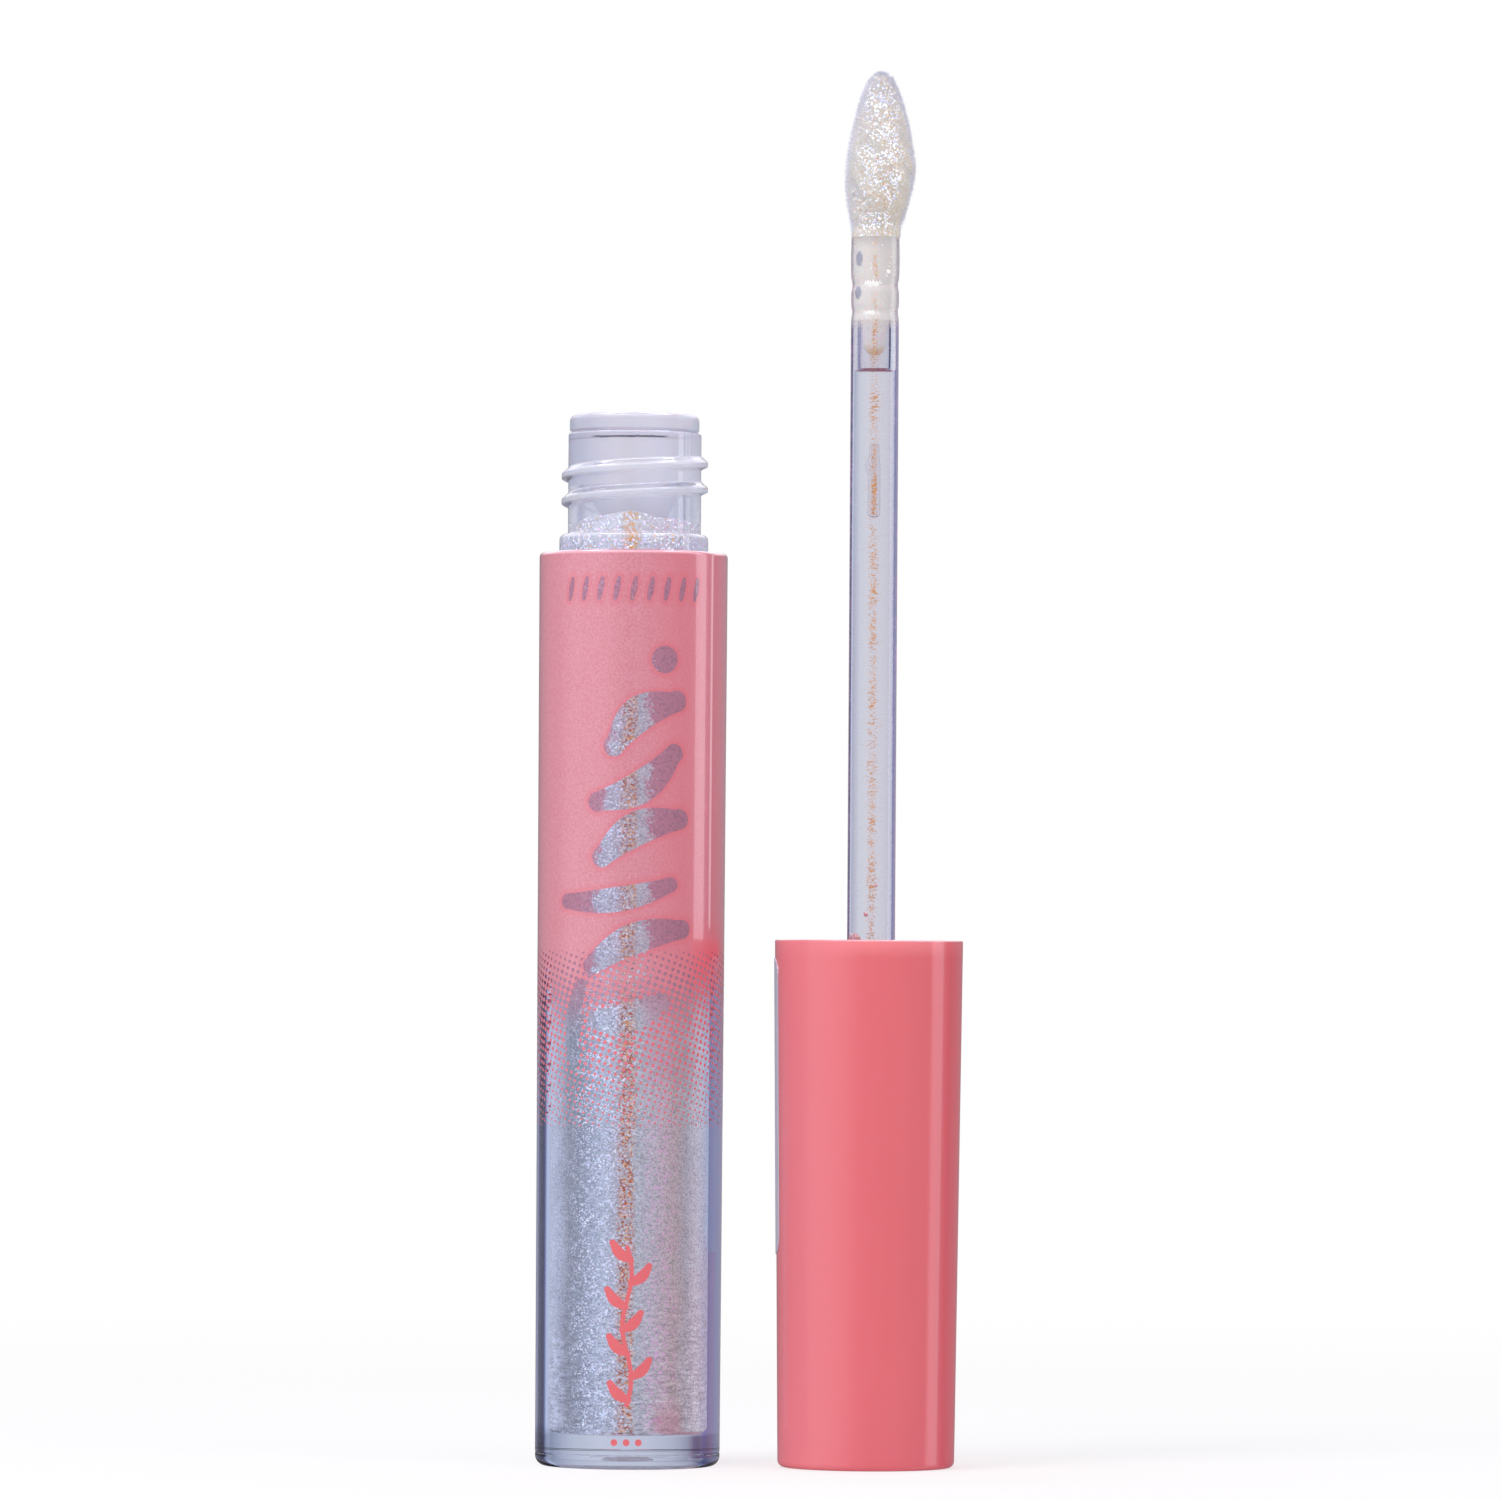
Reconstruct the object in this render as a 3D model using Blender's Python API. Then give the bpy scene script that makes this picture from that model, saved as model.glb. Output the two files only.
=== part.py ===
"""Lip gloss tube: a clear threaded bottle with its wiper and gloss, and beside it the applicator, which is
a screw cap with a threaded liner, a clear wand and a flocked tip, standing on its closed end.

Metres, +Z up. The origin lies on the ground midway between the bottle's axis and the applicator's axis.
"""

import math

import bmesh
import bpy
from mathutils import Matrix, Vector

MM = 0.001
SEGMENTS = 36
ARC_STEPS = 4

# Driving dimensions, in millimetres
AXIS_GAP = 18.35          # bottle axis to applicator axis
BODY_R = 7.25             # bottle at its shoulder, and cap at its rim
BASE_R = 7.1              # bottle at its base
SHOULDER_Z = 70.2
CHAMBER_R = 4.0
FLOOR_Z = 2.5
NECK_R = 5.09
NECK_TOP_Z = 79.5
BEAD_R = 5.74
BEAD_H = 1.45
THREAD_R = 5.61
THREAD_PITCH = 1.96
THREAD_TURNS = 2.0
THREAD_PHASE_Z = 75.2     # height of the thread's middle where it crosses +X
FLANGE_R = 5.0
FLANGE_H = 1.5
CAP_H = 40.5
CAP_END_R = 6.8
CAP_WALL = 0.85
ROD_R = 1.85
ROD_END_Z = 95.0
STEM_BORE_R = 1.15
STEM_BORE_DEPTH = 10.5
TIP_BASE_R = 1.89
TIP_R = 2.84
TIP_WIDEST = 4.9          # above the tip's base
TIP_H = 12.6
FLOCK_DEPTH = 0.45
BULLET_HEIGHTS = (2.4, 4.9, 7.5, 9.8)    # where the tip's core is measured, above the tip's base

# The turn that carries the applicator over the neck, and the travel that closes it
SWING_Z = 97.0
CLOSED_GAP = 0.2          # cap rim to shoulder when closed
CLOSE_TRAVEL = 2 * SWING_Z - CAP_H - SHOULDER_Z - CLOSED_GAP

# Fits between neighbouring pieces
SLIP = 0.1
SEAL_GAP = 0.3

BOTTLE_X = -AXIS_GAP / 2
APPLICATOR_X = AXIS_GAP / 2
FLANGE_Z = NECK_TOP_Z + SLIP
FLANGE_TOP_Z = FLANGE_Z + FLANGE_H
# Applicator height of the liner's sealing face, which meets the wiper's flange when the cap is closed
SEAL_Z = 2 * SWING_Z - CLOSE_TRAVEL - FLANGE_TOP_Z - SEAL_GAP


def clear_scene():
    for old in list(bpy.data.objects):
        bpy.data.objects.remove(old, do_unlink=True)


def material(name, colour, roughness, transmission=0.0, ior=1.5):
    made = bpy.data.materials.new(name)
    made.use_nodes = True
    shader = made.node_tree.nodes["Principled BSDF"]
    shader.inputs["Base Color"].default_value = (*colour, 1.0)
    shader.inputs["Roughness"].default_value = roughness
    shader.inputs["Metallic"].default_value = 0.0
    shader.inputs["Transmission Weight"].default_value = transmission
    shader.inputs["IOR"].default_value = ior
    return made


def arc(centre_r, centre_z, radius, start, end, steps=ARC_STEPS):
    """Points (r, z) on an arc of an outline, from one angle to another in degrees."""
    points = []
    for step in range(steps + 1):
        angle = math.radians(start + (end - start) * step / steps)
        points.append((centre_r + radius * math.cos(angle), centre_z + radius * math.sin(angle)))
    return points


def ring(bm, radius, height):
    """A ring of vertices about the axis, or the one vertex where the outline meets the axis."""
    if radius < 1e-6:
        return [bm.verts.new((0.0, 0.0, height * MM))]
    made = []
    for step in range(SEGMENTS):
        angle = math.tau * step / SEGMENTS
        spot = (radius * MM * math.cos(angle), radius * MM * math.sin(angle), height * MM)
        made.append(bm.verts.new(spot))
    return made


def join_rings(bm, lower, upper):
    for step in range(SEGMENTS):
        after = (step + 1) % SEGMENTS
        if len(lower) == 1:
            bm.faces.new((lower[0], upper[after], upper[step]))
        elif len(upper) == 1:
            bm.faces.new((lower[step], lower[after], upper[0]))
        else:
            bm.faces.new((lower[step], lower[after], upper[after], upper[step]))


def place(name, bm, skin, axis_x, parent=None):
    """Turns a mesh into a named object whose origin is on its axis."""
    bmesh.ops.recalc_face_normals(bm, faces=bm.faces)
    mesh = bpy.data.meshes.new(name)
    bm.to_mesh(mesh)
    bm.free()
    mesh.materials.append(skin)
    mesh.shade_smooth()
    mesh.set_sharp_from_angle(angle=math.radians(35))
    made = bpy.data.objects.new(name, mesh)
    bpy.context.collection.objects.link(made)
    if parent:
        made.parent = parent
    else:
        made.location = (axis_x * MM, 0.0, 0.0)
    return made


def turned(name, outline, skin, axis_x, parent=None):
    """A solid turned about its axis. The outline is a list of (r, z) in millimetres.

    An outline that starts and ends on the axis is a solid of revolution, and any other is a closed loop.
    """
    bm = bmesh.new()
    rings = [ring(bm, radius, height) for radius, height in outline]
    for lower, upper in zip(rings, rings[1:]):
        join_rings(bm, lower, upper)
    if len(rings[0]) > 1:
        join_rings(bm, rings[-1], rings[0])
    return place(name, bm, skin, axis_x, parent)


def thread_ridge(name, root_r, crest_r, middle_z, first_turn, last_turn, axis_x):
    """A right-hand helical ridge with run-out ends, to be joined to a wall by a Boolean.

    The ridge's middle is at middle_z where it crosses +X, at turn 0.
    """
    root_half = 0.7
    crest_half = 0.2
    crest_drop = 0.1
    buried = 0.3 if crest_r > root_r else -0.3
    run_out = 0.25
    steps = round((last_turn - first_turn) * SEGMENTS)
    bm = bmesh.new()
    sections = []
    for step in range(steps):
        # Half a facet out of step with the wall, so that no edge of the ridge lies in an edge of the wall
        turn = first_turn + (step + 0.5) / SEGMENTS
        angle = math.tau * turn
        height = middle_z + THREAD_PITCH * turn
        rise = min(1.0, 0.1 + min(step, steps - 1 - step) / SEGMENTS / run_out)
        top_r = root_r + (crest_r - root_r) * rise
        outline = [
            (root_r - buried, height - root_half),
            (top_r, height - crest_half - crest_drop),
            (top_r, height + crest_half - crest_drop),
            (root_r - buried, height + root_half),
        ]
        section = []
        for radius, level in outline:
            spot = (radius * MM * math.cos(angle), radius * MM * math.sin(angle), level * MM)
            section.append(bm.verts.new(spot))
        sections.append(section)
    for before, after in zip(sections, sections[1:]):
        for corner in range(len(before)):
            following = (corner + 1) % len(before)
            bm.faces.new((before[corner], before[following], after[following], after[corner]))
    bm.faces.new(sections[0])
    bm.faces.new(sections[-1])
    made = place(name, bm, material(name, (0.8, 0.8, 0.8), 0.2), axis_x)
    made.hide_render = True
    made.display_type = "WIRE"
    return made


def join_with(target, cutter):
    union = target.modifiers.new("thread", "BOOLEAN")
    union.operation = "UNION"
    union.solver = "EXACT"
    union.object = cutter


def cap_outer_r(height):
    """The cap's drafted outer radius at a height above its closed end."""
    return CAP_END_R + (BODY_R - CAP_END_R) * height / CAP_H


def tip_r(height):
    """The flocked tip's radius at a height above its base: a swelling foot and a long blunt taper."""
    if height <= TIP_WIDEST:
        return TIP_BASE_R + (TIP_R - TIP_BASE_R) * math.sin(math.pi / 2 * height / TIP_WIDEST)
    share = (height - TIP_WIDEST) / (TIP_H - TIP_WIDEST)
    return TIP_R * (1 - share ** 1.35) ** (1 / 1.8)


def bottle_outline():
    foot = 0.9
    shoulder_edge = 0.25
    bead_edge = 0.35
    gate_r = 2.2
    gate_depth = 0.35
    outline = [(0.0, gate_depth), (gate_r - 0.4, gate_depth), (gate_r, 0.0)]
    outline += arc(BASE_R - foot, foot, foot, -90, 0)
    outline += arc(BODY_R - shoulder_edge, SHOULDER_Z - shoulder_edge, shoulder_edge, 0, 90, 3)
    outline += [(BEAD_R, SHOULDER_Z)]
    outline += arc(BEAD_R - bead_edge, SHOULDER_Z + BEAD_H - bead_edge, bead_edge, 0, 90, 3)
    outline += [(NECK_R, SHOULDER_Z + BEAD_H), (NECK_R, NECK_TOP_Z - 0.15), (NECK_R - 0.15, NECK_TOP_Z)]
    outline += [(CHAMBER_R, NECK_TOP_Z)]
    outline += arc(CHAMBER_R - 0.5, FLOOR_Z + 0.5, 0.5, 0, -90)
    outline += [(0.0, FLOOR_Z)]
    return outline


def make_bottle():
    clear = material("clear_bottle", (0.88, 0.89, 0.96), 0.04, transmission=1.0, ior=1.57)
    bottle = turned("bottle", bottle_outline(), clear, BOTTLE_X)
    ridge = thread_ridge(
        "neck_thread", NECK_R, THREAD_R, THREAD_PHASE_Z, -THREAD_TURNS / 2, THREAD_TURNS / 2, BOTTLE_X
    )
    join_with(bottle, ridge)


def make_wiper():
    """A push-in wiper: a flange on the neck, a sleeve in the bore and a cone down to the wiping lip."""
    milky = material("milky_wiper", (0.86, 0.86, 0.93), 0.3, transmission=0.6)
    edge = 0.4
    sleeve_r = CHAMBER_R - SLIP
    mouth_r = 3.2
    cone_z = 75.4
    lip_z = 73.0
    lip_r = ROD_R + SLIP
    outline = [(sleeve_r, FLANGE_Z), (FLANGE_R, FLANGE_Z)]
    outline += arc(FLANGE_R - edge, FLANGE_TOP_Z - edge, edge, 0, 90, 3)
    outline += [(mouth_r + 0.2, FLANGE_TOP_Z), (mouth_r, FLANGE_TOP_Z - 0.2), (mouth_r, cone_z)]
    outline += [(lip_r, lip_z + 0.3), (lip_r, lip_z), (lip_r + 0.5, lip_z), (sleeve_r, cone_z - 0.4)]
    turned("wiper", outline, milky, BOTTLE_X)


def make_gloss_fill():
    pearl = material("pearl_gloss", (0.62, 0.66, 0.76), 0.25)
    gap = 0.15
    fill_r = CHAMBER_R - gap
    bottom = FLOOR_Z + gap
    level = 72.7
    outline = [(0.0, bottom)]
    outline += arc(fill_r - 0.5, bottom + 0.5, 0.5, -90, 0)
    outline += [(fill_r, level), (0.0, level)]
    turned("gloss_fill", outline, pearl, BOTTLE_X)


def make_outer_cap(applicator):
    coral = material("coral_cap", (0.83, 0.17, 0.19), 0.2)
    end_edge = 0.45
    floor = 1.2
    lip = 0.15
    outline = [(0.0, 0.0)]
    outline += arc(CAP_END_R - end_edge, end_edge, end_edge, -90, 0, 3)
    outline += [(BODY_R, CAP_H - lip), (BODY_R - lip, CAP_H)]
    outline += [(BODY_R - CAP_WALL, CAP_H), (cap_outer_r(floor) - CAP_WALL, floor), (0.0, floor)]
    turned("outer_cap", outline, coral, APPLICATOR_X, applicator)


def make_inner_cap(applicator):
    """The cap's liner: a threaded skirt, a sealing web and the socket that holds the wand."""
    liner = material("coral_liner", (0.80, 0.20, 0.22), 0.3)
    skirt_top = CAP_H - 0.4
    web = 1.2
    web_z = SEAL_Z - web
    skirt_r = cap_outer_r(web_z) - CAP_WALL - SLIP
    root_r = BEAD_R + SLIP
    socket_r = 3.0
    socket_bore_r = ROD_R + SLIP
    socket_floor = SEAL_Z - 9.0
    socket_end = socket_floor - 0.9
    outline = [(0.0, socket_end), (socket_r, socket_end), (socket_r, web_z), (skirt_r, web_z)]
    outline += [(skirt_r, skirt_top), (root_r, skirt_top), (root_r, SEAL_Z)]
    outline += [(socket_bore_r, SEAL_Z), (socket_bore_r, socket_floor), (0.0, socket_floor)]
    inner_cap = turned("inner_cap", outline, liner, APPLICATOR_X, applicator)
    # The ridge meshes with the neck's thread, half a pitch away from it, when the applicator is closed
    seat = 2 * SWING_Z - CLOSE_TRAVEL - THREAD_PHASE_Z
    ridge = thread_ridge(
        "liner_thread", root_r, NECK_R + 0.2, seat, -THREAD_TURNS / 2, THREAD_TURNS / 4, APPLICATOR_X
    )
    join_with(inner_cap, ridge)
    return socket_floor


def make_wand_rod(applicator, socket_floor):
    """A clear rod pressed into the liner's socket, bored at its end and crimped round the tip's stem."""
    clear = material("clear_wand", (0.88, 0.88, 0.95), 0.05, transmission=1.0)
    root = socket_floor + SLIP
    bore_z = ROD_END_Z - STEM_BORE_DEPTH
    crimps = [(-5.6, -0.02), (-4.7, 0.06), (-3.9, -0.1), (-2.8, 0.05), (-1.9, -0.04)]
    outline = [(0.0, root), (ROD_R, root)]
    outline += [(ROD_R + bulge, ROD_END_Z + below) for below, bulge in crimps]
    outline += [(ROD_R, ROD_END_Z - 0.15), (ROD_R - 0.15, ROD_END_Z), (STEM_BORE_R, ROD_END_Z)]
    outline += [(STEM_BORE_R, bore_z), (0.0, bore_z)]
    turned("wand_rod", outline, clear, APPLICATOR_X, applicator)


def make_applicator_stem(applicator):
    """The tip's core: a barbed stem in the wand's bore, and a bullet that carries the flock."""
    core = material("tip_core", (0.86, 0.84, 0.80), 0.5)
    stem_r = 0.8
    barb_r = STEM_BORE_R - SLIP
    end_z = ROD_END_Z - STEM_BORE_DEPTH + 0.9
    outline = [(0.0, end_z), (stem_r * 0.7, end_z), (stem_r, end_z + 0.4)]
    for barb in (-5.2, -3.3):
        outline += [
            (stem_r, ROD_END_Z + barb - 0.6),
            (barb_r, ROD_END_Z + barb),
            (stem_r, ROD_END_Z + barb + 0.2),
        ]
    outline += [(stem_r, ROD_END_Z + 0.85)]
    for height in (1.3, *BULLET_HEIGHTS):
        outline.append((tip_r(height) - FLOCK_DEPTH - SLIP, ROD_END_Z + height))
    outline += [(0.5, ROD_END_Z + TIP_H - 1.25), (0.0, ROD_END_Z + TIP_H - 1.15)]
    turned("applicator_stem", outline, core, APPLICATOR_X, applicator)


def make_applicator_flock(applicator):
    """The flocked skin of the tip, an open-footed shell round the core's bullet."""
    flock = material("wet_flock", (0.90, 0.89, 0.86), 0.6)
    foot = 0.1
    outer = [foot, 1.6, 3.2, 4.9, 6.4, 7.9, 9.4, 10.7, 11.7, 12.35]
    hole_r = 1.0
    outline = [(hole_r, ROD_END_Z + foot)]
    outline += [(tip_r(height), ROD_END_Z + height) for height in outer]
    outline += [(0.0, ROD_END_Z + TIP_H), (0.0, ROD_END_Z + TIP_H - 0.7), (0.8, ROD_END_Z + TIP_H - 1.0)]
    for height in (*reversed(BULLET_HEIGHTS), 1.0):
        outline.append((tip_r(height) - FLOCK_DEPTH, ROD_END_Z + height))
    outline += [(hole_r, ROD_END_Z + 0.6)]
    bm = bmesh.new()
    rings = [ring(bm, radius, height) for radius, height in outline]
    nose = next(i for i, spot in enumerate(rings) if len(spot) == 1)
    for index, (lower, upper) in enumerate(zip(rings, rings[1:])):
        if index != nose:
            join_rings(bm, lower, upper)
    join_rings(bm, rings[-1], rings[0])
    place("applicator_flock", bm, flock, APPLICATOR_X, applicator)


def make_cap_label(applicator):
    """A thin adhesive label with rounded corners that wraps round the back of the cap."""
    paper = material("silver_label", (0.72, 0.72, 0.80), 0.35)
    low, high = 16.3, 39.1
    corner = 1.5
    start, end = math.radians(35), math.radians(195)
    gap, thick = 0.05, 0.12
    columns = 28
    mid_r = cap_outer_r((low + high) / 2)
    bm = bmesh.new()
    rows = []
    for column in range(columns + 1):
        angle = start + (end - start) * (1 - math.cos(math.pi * column / columns)) / 2
        reach = min(angle - start, end - angle) * mid_r
        inset = 0.0
        if reach < corner:
            inset = corner - math.sqrt(max(0.0, corner ** 2 - (corner - reach) ** 2))
        row = []
        for depth, height in ((gap, low + inset), (gap + thick, low + inset),
                              (gap + thick, high - inset), (gap, high - inset)):
            radius = (cap_outer_r(height) + depth) * MM
            row.append(bm.verts.new((radius * math.cos(angle), radius * math.sin(angle), height * MM)))
        rows.append(row)
    for before, after in zip(rows, rows[1:]):
        for corner_index in range(4):
            following = (corner_index + 1) % 4
            bm.faces.new((before[corner_index], before[following], after[following], after[corner_index]))
    bm.faces.new(rows[0])
    bm.faces.new(rows[-1])
    place("cap_label", bm, paper, APPLICATOR_X, applicator)


def make_gloss_drop(name, skin, turn, height, width, tall, applicator):
    """A drop of gloss that clings to the wand: a low dome on the plane that touches the rod."""
    gap = 0.04
    rise = 0.5
    bm = bmesh.new()
    bmesh.ops.create_uvsphere(bm, u_segments=12, v_segments=6, radius=1.0)
    below = [vertex for vertex in bm.verts if vertex.co.z < -1e-4]
    bmesh.ops.delete(bm, geom=below, context="VERTS")
    rim = [edge for edge in bm.edges if edge.is_boundary]
    bmesh.ops.contextual_create(bm, geom=rim)
    shape = Matrix.Diagonal(Vector((tall / 2, width / 2, rise, 1.0)))
    lean = Matrix.Rotation(math.pi / 2, 4, "Y")
    out = Matrix.Translation(Vector((ROD_R + gap, 0.0, height)))
    around = Matrix.Rotation(math.radians(turn), 4, "Z")
    scale = Matrix.Diagonal(Vector((MM, MM, MM, 1.0)))
    bmesh.ops.transform(bm, matrix=scale @ around @ out @ lean @ shape, verts=bm.verts)
    place(name, bm, skin, APPLICATOR_X, applicator)


def make_applicator():
    applicator = bpy.data.objects.new("applicator_axis", None)
    applicator.location = (APPLICATOR_X * MM, 0.0, 0.0)
    bpy.context.collection.objects.link(applicator)
    make_outer_cap(applicator)
    socket_floor = make_inner_cap(applicator)
    make_wand_rod(applicator, socket_floor)
    make_applicator_stem(applicator)
    make_applicator_flock(applicator)
    make_cap_label(applicator)
    smear = material("gloss_smear", (0.80, 0.72, 0.62), 0.15)
    make_gloss_drop("gloss_drop_rim", smear, 215, CAP_H + 0.9, 1.7, 1.5, applicator)
    make_gloss_drop("gloss_drop_low", smear, 255, CAP_H + 3.2, 1.5, 1.7, applicator)
    make_gloss_drop("gloss_drop_high", smear, 285, CAP_H + 5.8, 1.5, 1.7, applicator)


clear_scene()
make_bottle()
make_wiper()
make_gloss_fill()
make_applicator()
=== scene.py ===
"""The looks of a lip gloss tube: the open bottle of pearly gloss, and its applicator on its cap.

Every length below is in millimetres until a mesh is made. The CAD frame gives the places of the axes and
the rims, and the rest are sizes of surface detail.
"""

import math
import random

import bmesh
import bpy
import numpy as np
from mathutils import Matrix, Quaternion, Vector


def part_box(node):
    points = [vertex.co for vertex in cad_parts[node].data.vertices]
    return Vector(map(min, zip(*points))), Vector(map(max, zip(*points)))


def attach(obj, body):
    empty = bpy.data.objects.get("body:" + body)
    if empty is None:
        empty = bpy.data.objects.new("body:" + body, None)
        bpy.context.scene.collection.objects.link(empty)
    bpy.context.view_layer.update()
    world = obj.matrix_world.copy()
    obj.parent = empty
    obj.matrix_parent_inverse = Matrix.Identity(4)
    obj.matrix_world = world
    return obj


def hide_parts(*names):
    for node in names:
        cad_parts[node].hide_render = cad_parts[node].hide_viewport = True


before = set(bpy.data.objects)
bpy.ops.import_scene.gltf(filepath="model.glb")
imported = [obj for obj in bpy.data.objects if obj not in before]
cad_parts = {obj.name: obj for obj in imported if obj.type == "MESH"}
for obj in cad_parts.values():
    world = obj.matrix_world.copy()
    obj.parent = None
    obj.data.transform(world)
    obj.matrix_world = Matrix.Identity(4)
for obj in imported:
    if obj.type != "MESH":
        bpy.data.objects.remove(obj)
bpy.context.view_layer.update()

MM = 0.001


def span(node):
    """A CAD node's lowest and highest corners, in millimetres."""
    low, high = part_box(node)
    return low / MM, high / MM


bottle_low, bottle_high = span("bottle")
wiper_low, wiper_high = span("wiper")
cap_low, cap_high = span("outer_cap")
liner_low, liner_high = span("inner_cap")
flock_low, flock_high = span("applicator_flock")
label_low, label_high = span("cap_label")

BOTTLE_X = (bottle_low.x + bottle_high.x) / 2
WAND_X = (cap_low.x + cap_high.x) / 2
BODY_R = (bottle_high.x - bottle_low.x) / 2
NECK_TOP = bottle_high.z
CAP_H = cap_high.z
WAND_END = span("wand_rod")[1].z
TIP_TOP = flock_high.z
TIP_R = (flock_high.x - flock_low.x) / 2
FLANGE_R = (wiper_high.x - wiper_low.x) / 2

# Sizes that the frame's boxes don't give
BASE_R = 7.1
SHOULDER_Z = 70.2
NECK_R = 5.09
THREAD_R = 5.61
THREAD_PITCH = 1.96
THREAD_TURNS = 2.0
THREAD_PHASE_Z = 75.2
THREAD_START = -0.75
BEAD_R = 5.74
BEAD_H = 1.45
CHAMBER_R = 4.0
FLOOR_Z = 2.5
FLOOR_EDGE = 0.5
CAP_END_R = 6.8
CAP_WALL = 0.85
ROD_R = 1.85
TIP_BASE_R = 1.89
TIP_WIDEST = 5.3
STEM_BORE_R = 1.12
ROD_X = WAND_X + 0.15
STEM_BORE_DEPTH = 10.6
FRONT = -math.pi / 2
SHOULDER_EDGE = 0.3


# ---------------------------------------------------------------- meshes

def arc(centre_r, centre_z, radius, start, end, steps=8):
    """Points (r, z) on an arc of an outline, from one angle to another in degrees."""
    points = []
    for step in range(steps + 1):
        angle = math.radians(start + (end - start) * step / steps)
        points.append((centre_r + radius * math.cos(angle), centre_z + radius * math.sin(angle)))
    return points


def stretch(low, high, step):
    """Evenly spaced values from low to high, no further apart than step."""
    count = max(1, math.ceil(abs(high - low) / step))
    return [low + (high - low) * i / count for i in range(count + 1)]


def on_round(axis_x, radius, angle, height):
    """A point on a round surface about an upright axis."""
    return axis_x + radius * math.cos(angle), radius * math.sin(angle), height


def ring_faces(rings, sides):
    """Faces between rings of points, each ring with the same number of sides."""
    faces = []
    for row in range(rings - 1):
        here, above = row * sides, (row + 1) * sides
        for step in range(sides):
            after = (step + 1) % sides
            faces.append((here + step, here + after, above + after, above + step))
    return faces


def turned(outline, axis_x, segments=144, shape=None):
    """Points and faces of an outline (r, z) turned about an upright axis.

    An outline that starts and ends on the axis is a solid of revolution, and any other is a closed loop.
    shape(angle, r, z) may return another (r, z) for one point of a ring.
    """
    points, rings, faces = [], [], []
    for radius, height in outline:
        start = len(points)
        if radius < 1e-6:
            points.append((axis_x, 0.0, height))
            rings.append([start])
            continue
        for step in range(segments):
            angle = math.tau * step / segments
            r, z = shape(angle, radius, height) if shape else (radius, height)
            points.append(on_round(axis_x, r, angle, z))
        rings.append(list(range(start, start + segments)))
    pairs = list(zip(rings, rings[1:]))
    if len(rings[0]) > 1:
        pairs.append((rings[-1], rings[0]))
    for lower, upper in pairs:
        for step in range(segments):
            after = (step + 1) % segments
            if len(lower) == 1:
                faces.append((lower[0], upper[after], upper[step]))
            elif len(upper) == 1:
                faces.append((lower[step], lower[after], upper[0]))
            else:
                faces.append((lower[step], lower[after], upper[after], upper[step]))
    return points, faces


def piece(name, points, faces, paint, body, stands_for=(), outward=True, sharp=35, values=None):
    """Makes a mesh object from millimetres, and lets it ride on a CAD body.

    values holds names of point values that its material reads, each with one number a point.
    """
    mesh = bpy.data.meshes.new(name)
    mesh.from_pydata([(x * MM, y * MM, z * MM) for x, y, z in points], [], faces)
    if outward:
        bm = bmesh.new()
        bm.from_mesh(mesh)
        bmesh.ops.recalc_face_normals(bm, faces=bm.faces)
        bm.to_mesh(mesh)
        bm.free()
    for label, numbers in (values or {}).items():
        mesh.attributes.new(label, "FLOAT", "POINT").data.foreach_set("value", numbers)
    mesh.materials.append(paint)
    mesh.shade_smooth()
    mesh.set_sharp_from_angle(angle=math.radians(sharp))
    made = bpy.data.objects.new(name, mesh)
    bpy.context.scene.collection.objects.link(made)
    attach(made, body)
    if stands_for:
        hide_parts(*stands_for)
    return made


def merged(*parts):
    """Joins several (points, faces) into one."""
    points, faces = [], []
    for more_points, more_faces in parts:
        start = len(points)
        points += more_points
        faces += [tuple(start + corner for corner in face) for face in more_faces]
    return points, faces


# ---------------------------------------------------------------- shader graphs

WHITE = (255, 255, 255)


def linear(tint):
    """A screen colour, 0 to 255 a channel, as the linear values that shaders take."""
    channels = []
    for value in tint:
        share = value / 255
        channels.append(share / 12.92 if share <= 0.04045 else ((share + 0.055) / 1.055) ** 2.4)
    return (*channels, 1.0)


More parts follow.
